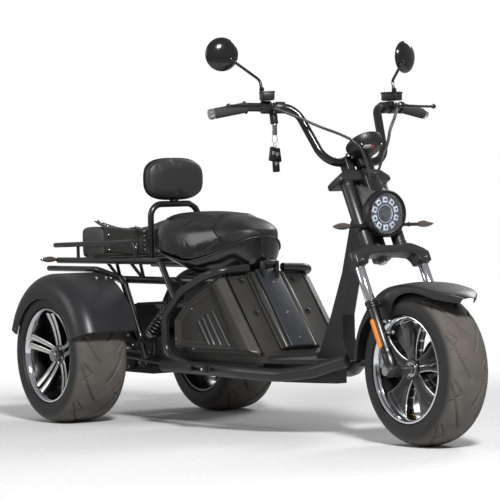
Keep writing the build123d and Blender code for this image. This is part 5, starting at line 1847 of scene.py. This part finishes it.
@dataclass
class Shock:
    """Shock absorber: body, rod, coil spring and eyes."""

    name: str
    sign: int
    side: float = 0.172
    top: Point = (0.470, 0.440)
    foot: Point = (0.270, 0.292)

    def build(self) -> None:
        """Make the shock absorber."""
        shape = Shape(Finishes.GLOSS_TUBE)
        top = at(self.top[0], self.sign * self.side, self.top[1])
        foot = at(self.foot[0], self.sign * self.side, self.foot[1])
        axis = (top - foot).normalized()
        shape.use(Finishes.CHROME).rod(foot, top, 0.007)
        shape.use(Finishes.PLASTIC).rod(foot.lerp(top, 0.10), foot.lerp(top, 0.52), 0.0135, bevel=0.002)
        for share, radius in ((0.13, 0.0225), (0.83, 0.0225), (0.09, 0.015), (0.87, 0.015)):
            spot = foot.lerp(top, share)
            shape.rod(spot, spot + axis * 0.008, radius, bevel=0.002)
        shape.use(Finishes.STEEL)
        for index in range(3):
            spot = foot.lerp(top, 0.165 + 0.02 * index)
            shape.rod(spot, spot + axis * 0.003, 0.0205, segments=24)
        line = [foot.lerp(top, 0.17 + 0.66 * k / 60) for k in range(61)]
        shape.use(Finishes.GLOSS_TUBE).path(helix(line, 0.0190, 0.0185, 16), 0.0036, 3, 2)
        for end in (top, foot):
            shape.use(Finishes.DRIVE)
            frame = frame_at(end, (0, 1, 0), (1, 0, 0))
            shape.lathe([(0.0082, -0.012), (0.0145, -0.012), (0.0145, 0.012), (0.0082, 0.012)], frame, 32)
        shape.piece(f"coil_shock_{self.name}", Body.CHASSIS, "shock_black", [f"shock_{self.name}"])


@dataclass
class RearLamps:
    """Tail lamp and the rear signals on their stalks."""

    def build(self) -> None:
        """Make the lamps."""
        shape = Shape(Finishes.PLASTIC)
        frame = frame_at(at(-0.318, 0, 0.566), (-1, 0, 0), (0, 1, 0))
        shape.block((0.108, 0.038, 0.022), frame, 0.004, 3)
        shape.use(Finishes.RED).block((0.096, 0.028, 0.006), frame @ Matrix.Translation((0, 0, 0.0098)),
                                      0.0025, 3)
        for _, sign in SIDES:
            shape.use(Finishes.PLASTIC).rod(at(-0.3175, sign * 0.04, 0.567),
                                            at(-0.3175, sign * 0.195, 0.5685), 0.0048)
            signal_lamp(shape, at(-0.318, sign * 0.190, 0.569), sign * 0.071)
        shape.piece("rear_lamp_set", Body.CHASSIS, "lamp_black", ["tail_lamps"])


@dataclass
class SidePanel:
    """Side panel: a bulged skin that sinks behind the louvres, with bolts and a rim."""

    name: str
    sign: int
    outside: float = 0.1895
    rear: float = 0.453
    length: float = 0.508
    low: float = 0.257
    louvres: Sequence[Point] = ((0.605, 0.364, 0.672, 0.283), (0.632, 0.376, 0.704, 0.281),
                                (0.658, 0.389, 0.746, 0.280), (0.692, 0.402, 0.800, 0.276))

    def top(self, ahead: float) -> float:
        """Height of the panel's upper edge."""
        rows = ((0.452, 0.368), (0.556, 0.450), (0.640, 0.486), (0.752, 0.526), (0.962, 0.270))
        for low, high in zip(rows, rows[1:]):
            if ahead <= high[0]:
                return low[1] + (high[1] - low[1]) * (ahead - low[0]) / (high[0] - low[0])
        return rows[-1][1]

    def place(self, share: float, rise: float) -> Vector:
        """Place on the skin, from its rear edge to its front edge and from foot to top."""
        ahead = self.rear + self.length * share
        low, high = self.low, self.top(ahead)
        height = low + (high - low) * rise
        side = self.outside
        border = min(min(share, 1 - share) * self.length, min(rise, 1 - rise) * (high - low))
        side -= 0.030 * (1 - smoothstep(border, 0.0, 0.026))
        slope = (ahead - 0.768) + (height - 0.380) * 0.72
        side -= 0.022 * (1 - smoothstep(slope, -0.030, 0.050)) * smoothstep(border, 0.012, 0.040)
        front = (ahead - 0.838) + (height - 0.380) * 0.80
        side -= 0.008 * smoothstep(front, 0.02, 0.10)
        return at(ahead, self.sign * side, height)

    def build(self) -> None:
        """Make the panel, its louvres and its bolts."""
        shape = Shape(Finishes.PANEL)
        shape.sheet(100, 64, self.place, 0.0035, at(0.7, 0, 0.38))
        fronts = []
        for x1, z1, x2, z2 in self.louvres:
            start, end = at(x1, 0, z1), at(x2, 0, z2)
            for value in (start, end):
                value.y = self.sign * (self.outside - 0.0200)
            fronts.append((start, end))
        for index, (start, end) in enumerate(fronts):
            direction = (end - start).normalized()
            frame = frame_at(start.lerp(end, 0.5), (0, self.sign, 0), direction)
            length = (end - start).length
            wide = index == len(fronts) - 1
            shape.use(Finishes.PANEL if wide else Finishes.PLASTIC)
            shape.block((length, 0.013, 0.004), frame, 0.0015, 2)
            shape.use(Finishes.WING)
            shape.block((length * 0.97, 0.0050, 0.0080), frame @ Matrix.Translation((0, 0.0048, 0)), 0.0015,
                        2)
        for ahead, height in ((0.478, 0.300), (0.566, 0.405), (0.585, 0.272)):
            share = (ahead - self.rear) / self.length
            rise = (height - self.low) / (self.top(ahead) - self.low)
            shape.bolt(self.place(share, rise), (0, self.sign, 0), 0.0035)
        shape.piece(f"panel_skin_{self.name}", Body.CHASSIS, "panel_charcoal", [f"side_panel_{self.name}"],
                    crease=50)


@dataclass
class FrontCover:
    """Raised cover on the case's slanted front, between its two round edges."""

    top: Point = (0.752, 0.528)
    foot: Point = (0.962, 0.272)
    half: float = 0.047
    depth: float = 0.024

    def build(self) -> None:
        """Make the cover, its round edges, its bolts and the seat's hinge lugs."""
        shape = Shape(Finishes.COVER)
        top, foot = at(self.top[0], 0, self.top[1]), at(self.foot[0], 0, self.foot[1])
        down = (foot - top).normalized()
        normal = Vector((-down.z, 0, down.x)) * -1
        if normal.x < 0:
            normal = -normal
        length = (foot - top).length
        frame = frame_at(top.lerp(foot, 0.5), normal, down)
        outline = [(-length / 2 + 0.004, -self.half * 0.96), (length / 2 - 0.002, -self.half),
                   (length / 2 - 0.002, self.half), (-length / 2 + 0.004, self.half * 0.96)]
        shape.plate(outline, self.depth, frame, 0.006, 4)
        for share in (-0.30, 0.08, 0.40):
            shape.bolt(frame @ Vector((length * share, 0, self.depth)), normal, 0.0045)
        shape.use(Finishes.PANEL)
        for _, sign in SIDES:
            start = top + Vector((0.018, sign * 0.058, -0.004))
            end = foot + Vector((0.008, sign * 0.058, 0.008))
            shape.rod(start, end, 0.0108, segments=32, bevel=0.003)
            web = frame_at(start.lerp(end, 0.5) - normal * 0.006 + Vector((0, sign * 0.012, 0)), normal, down)
            shape.block((length * 0.94, 0.016, 0.006), web, 0.002)
            for ahead, height in ((0.775, 0.500), (0.861, 0.395)):
                spot = frame_at(at(ahead, sign * 0.104, height) + normal * 0.0004, normal, down)
                shape.use(Finishes.PLASTIC)
                shape.lathe([(0.0, -0.001), (0.0115, -0.001), (0.0115, 0.0012), (0.0095, 0.0016),
                             (0.008, 0.0004), (0, 0.0004)], spot, 28, closed=False)
                shape.bolt(spot.translation, normal, 0.0042, Finishes.PLASTIC_GLOSS)
            shape.use(Finishes.PANEL)
        shape.use(Finishes.FRAME)
        hinge = at(*SEAT_HINGE)
        for _, sign in SIDES:
            lug = frame_at(at(0.790, sign * 0.028, 0.520), (0, 1, 0), (1, 0, 0))
            shape.block((0.0235, 0.088, 0.0115), lug, 0.003)
        shape.use(Finishes.STEEL).rod(hinge - Vector((0, 0.0335, 0)), hinge + Vector((0, 0.0335, 0)), 0.0049)
        shape.piece("front_cover_plate", Body.CHASSIS, "cover_blue_grey", ["front_cover"])


@dataclass
class Underbody:
    """Deck mat, folded footpegs, drive unit and controller details."""

    def deck(self) -> None:
        """Make the ribbed mat on the deck."""
        shape = Shape(Finishes.DECK)
        outline = ((0.992, 0.141), (1.040, 0.128), (1.150, 0.074), (1.184, 0.054))
        for index in range(15):
            ahead = 1.000 + 0.0125 * index
            half = along_line(outline, ahead, 1)
            gap = 0.027 if ahead > 1.078 else 0.0
            for low, high in (((-half, -gap), (gap, half)) if gap else ((-half, half),)):
                centre = at(ahead, (low + high) / 2, 0.2495)
                shape.block((0.007, high - low, 0.002), Matrix.Translation(centre), 0.0007, 1)
        shape.piece("deck_ribs", Body.CHASSIS, "deck_rubber")

    def pegs(self) -> None:
        """Make the folded footpegs with their brackets."""
        shape = Shape(Finishes.FRAME)
        for _, sign in SIDES:
            for shift in (-0.0085, 0.0085):
                centre = at(0.700, sign * 0.238, 0.212 + shift)
                shape.use(Finishes.GLOSS_TUBE).rod(centre - Vector((0.040, 0, 0)),
                                                   centre + Vector((0.040, 0, 0)), 0.0045)
            for ahead in (0.660, 0.742):
                frame = Matrix.Translation(at(ahead, sign * 0.233, 0.212))
                shape.use(Finishes.FRAME).block((0.014, 0.028, 0.024), frame, 0.003)
            shape.use(Finishes.FRAME).block((0.098, 0.010, 0.016),
                                            Matrix.Translation(at(0.706, sign * 0.2245, 0.212)), 0.003)
            shape.bolt(at(0.742, sign * 0.247, 0.212), (0, sign, 0), 0.005)
        shape.use(Finishes.WIRE_RED)
        shape.path([at(0.655, -0.215, 0.206), at(0.640, -0.222, 0.204), at(0.625, -0.224, 0.206),
                    at(0.612, -0.220, 0.210), at(0.600, -0.210, 0.212)], 0.0012, 1, 6)
        shape.piece("folded_pegs", Body.CHASSIS, "frame_satin", ["footpegs"])

    def drive(self) -> None:
        """Make fins and covers on the drive unit and the controller box."""
        shape = Shape(Finishes.DRIVE)
        for _, sign in SIDES:
            frame = frame_at(at(0.0, sign * 0.084, 0.239), (0, sign, 0), (1, 0, 0))
            shape.use(Finishes.DRIVE)
            shape.lathe([(0.031, -0.001), (0.070, -0.001), (0.070, 0.008), (0.062, 0.012), (0.031, 0.012)],
                        frame, 64)
            for turn in turns(8, 22.5):
                shape.bolt(frame @ Vector((0.060 * math.cos(turn), 0.060 * math.sin(turn), 0.012)),
                           (0, sign, 0), 0.0045)
            motor = frame_at(at(0.130, sign * 0.084, 0.240), (0, sign, 0), (1, 0, 0))
            shape.lathe([(0.0, -0.001), (0.058, -0.001), (0.058, 0.014), (0.050, 0.019), (0, 0.019)], motor,
                        64, closed=False)
            for turn in turns(6):
                shape.bolt(motor @ Vector((0.046 * math.cos(turn), 0.046 * math.sin(turn), 0.019)),
                           (0, sign, 0), 0.004)
        for index in range(9):
            centre = at(0.085 + 0.016 * index, 0, 0.4115)
            shape.block((0.006, 0.190, 0.004), Matrix.Translation(centre), 0.001, 1)
        shape.piece("drive_trim", Body.CHASSIS, "drive_grey")

    def build(self) -> None:
        """Make the details under the seat."""
        self.deck()
        self.pegs()
        self.drive()


# Finishes of the CAD nodes that stay as they are
KEPT_NODES = {
    "main_frame": Finishes.FRAME, "side_loop_right": Finishes.FRAME, "side_loop_left": Finishes.FRAME,
    "battery_case": Finishes.PANEL, "belly_pan": Finishes.FRAME, "deck": Finishes.PLASTIC,
    "rear_truss": Finishes.GLOSS_TUBE, "rack_rails": Finishes.GLOSS_TUBE, "fender_stays": Finishes.GLOSS_TUBE,
    "swing_arm": Finishes.FRAME, "rear_axle": Finishes.STEEL, "front_axle": Finishes.STEEL,
    "drive_unit": Finishes.DRIVE, "controller_box": Finishes.PLASTIC, "backrest_hoop": Finishes.GLOSS_TUBE,
    "handlebar": Finishes.BAR,
}


@dataclass
class Studio:
    """Pale floor, soft light and the camera at the photograph's angle."""

    place: Point = (6.94255, -4.69959, 0.76933)
    yaw: float = math.radians(56.2548)
    pitch: float = math.radians(1.1487)
    roll: float = math.radians(-1.3910)
    lens: float = 2498.637 / 500 * 36

    def camera(self) -> None:
        """Set the camera."""
        back = Vector((math.sin(self.yaw) * math.cos(self.pitch), -math.cos(self.yaw) * math.cos(self.pitch),
                       math.sin(self.pitch)))
        right = (-back).cross(Vector((0, 0, 1))).normalized()
        up = right.cross(-back)
        level = right * math.cos(self.roll) + up * math.sin(self.roll)
        upward = up * math.cos(self.roll) - right * math.sin(self.roll)
        camera = bpy.data.objects.new("camera", bpy.data.cameras.new("camera"))
        rotation = Matrix((level, upward, back)).transposed().to_4x4()
        camera.matrix_world = Matrix.Translation(Vector(self.place)) @ rotation
        camera.data.lens = self.lens
        camera.data.sensor_width = 36
        camera.data.clip_end = 100
        bpy.context.scene.collection.objects.link(camera)
        bpy.context.scene.camera = camera

    def light(self, name: str, place: Point, target: Point, size: float, watts: float) -> None:
        """Add a square soft light that looks at a place."""
        data = bpy.data.lights.new(name, "AREA")
        data.shape = "SQUARE"
        data.size = size
        data.energy = watts
        lamp = bpy.data.objects.new(name, data)
        lamp.matrix_world = frame_at(place, Vector(place) - Vector(target), (1, 0.2, 0))
        bpy.context.scene.collection.objects.link(lamp)

    def world(self) -> None:
        """Set the pale world, white to the camera and through glass."""
        world = bpy.data.worlds.new("studio")
        bpy.context.scene.world = world
        world.use_nodes = True
        tree = world.node_tree
        background = tree.nodes["Background"]
        background.inputs["Color"].default_value = (1, 1, 1, 1)
        path = tree.nodes.new("ShaderNodeLightPath")
        both = tree.nodes.new("ShaderNodeMath")
        both.operation = "MAXIMUM"
        tree.links.new(path.outputs["Is Camera Ray"], both.inputs[0])
        tree.links.new(path.outputs["Is Transmission Ray"], both.inputs[1])
        level = tree.nodes.new("ShaderNodeMapRange")
        level.inputs["To Min"].default_value = 0.34
        level.inputs["To Max"].default_value = 1.0
        tree.links.new(both.outputs[0], level.inputs["Value"])
        tree.links.new(level.outputs[0], background.inputs["Strength"])

    def floor(self) -> None:
        """Add the pale floor."""
        bm = bmesh.new()
        bmesh.ops.create_grid(bm, x_segments=1, y_segments=1, size=30)
        mesh = bpy.data.meshes.new("floor")
        bm.to_mesh(mesh)
        bm.free()
        shader = Shader("floor_pale")
        grain = shader.noise(60, 6)
        x, y, _ = shader.axes(shader.place())
        distance = (x * x + y * y).power(0.5)
        shader.set(Base_Color=shader.blend(grain, (0.5, 0.5, 0.505), (0.74, 0.74, 0.74)), Roughness=0.9,
                   Alpha=1 - shader.band(distance, 1.4, 2.9))
        mesh.materials.append(shader.material)
        floor = bpy.data.objects.new("floor", mesh)
        bpy.context.scene.collection.objects.link(floor)

    def build(self) -> None:
        """Set the scene."""
        bpy.context.scene.view_settings.view_transform = "Standard"
        self.camera()
        self.world()
        self.floor()
        target = (0, 0, 0.5)
        self.light("key", (5.2, -2.2, 4.8), target, 1.0, 620)
        self.light("fill", (-2.5, -4.6, 2.4), target, 2.5, 60)
        self.light("rim", (-1.5, 4.2, 3.6), target, 2.0, 120)


def dress_kept_nodes(frame: dict) -> None:
    """Give the CAD nodes that stay their finishes."""
    for name, finish in KEPT_NODES.items():
        node = frame["nodes"][name]
        node.data.materials.clear()
        node.data.materials.append(finish.material())
        log.info("%s: finish %s", name, finish.name)


def main() -> None:
    """Build the scooter's looks around its frame."""
    logging.basicConfig(level=logging.INFO, format="%(message)s")
    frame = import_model()
    Studio().build()
    front = at(WHEELBASE, 0, WHEEL_RADIUS)
    Tyre("front_tyre", Body.FRONT_WHEEL, front, 0.082, 2.4, 0.073, 9).build()
    StarRim("front_rim", Body.FRONT_WHEEL, front, -1, 0.078, "front_rim_black").build()
    for name, sign in SIDES:
        centre = at(0, sign * REAR_TRACK / 2, WHEEL_RADIUS)
        body = Body(f"rear_wheel_{name}")
        Tyre(f"rear_tyre_{name}", body, centre, 0.104, 3.6, 0.091, 10).build()
        SpokeRim(f"rear_rim_{name}", body, centre, sign, 0.096, "rear_rim_black", hub_half=0.060,
                 bore=0.0151).build()
        RearFender(name, sign).build()
        Shock(name, sign).build()
        SidePanel(name, sign).build()
    Fork().build()
    FrontFender().build()
    Headlight().build()
    Controls().build()
    Seat().build()
    Backrest().build()
    TailBag().build()
    RearLamps().build()
    FrontCover().build()
    Underbody().build()
    dress_kept_nodes(frame)


if __name__ == "__main__":
    main()
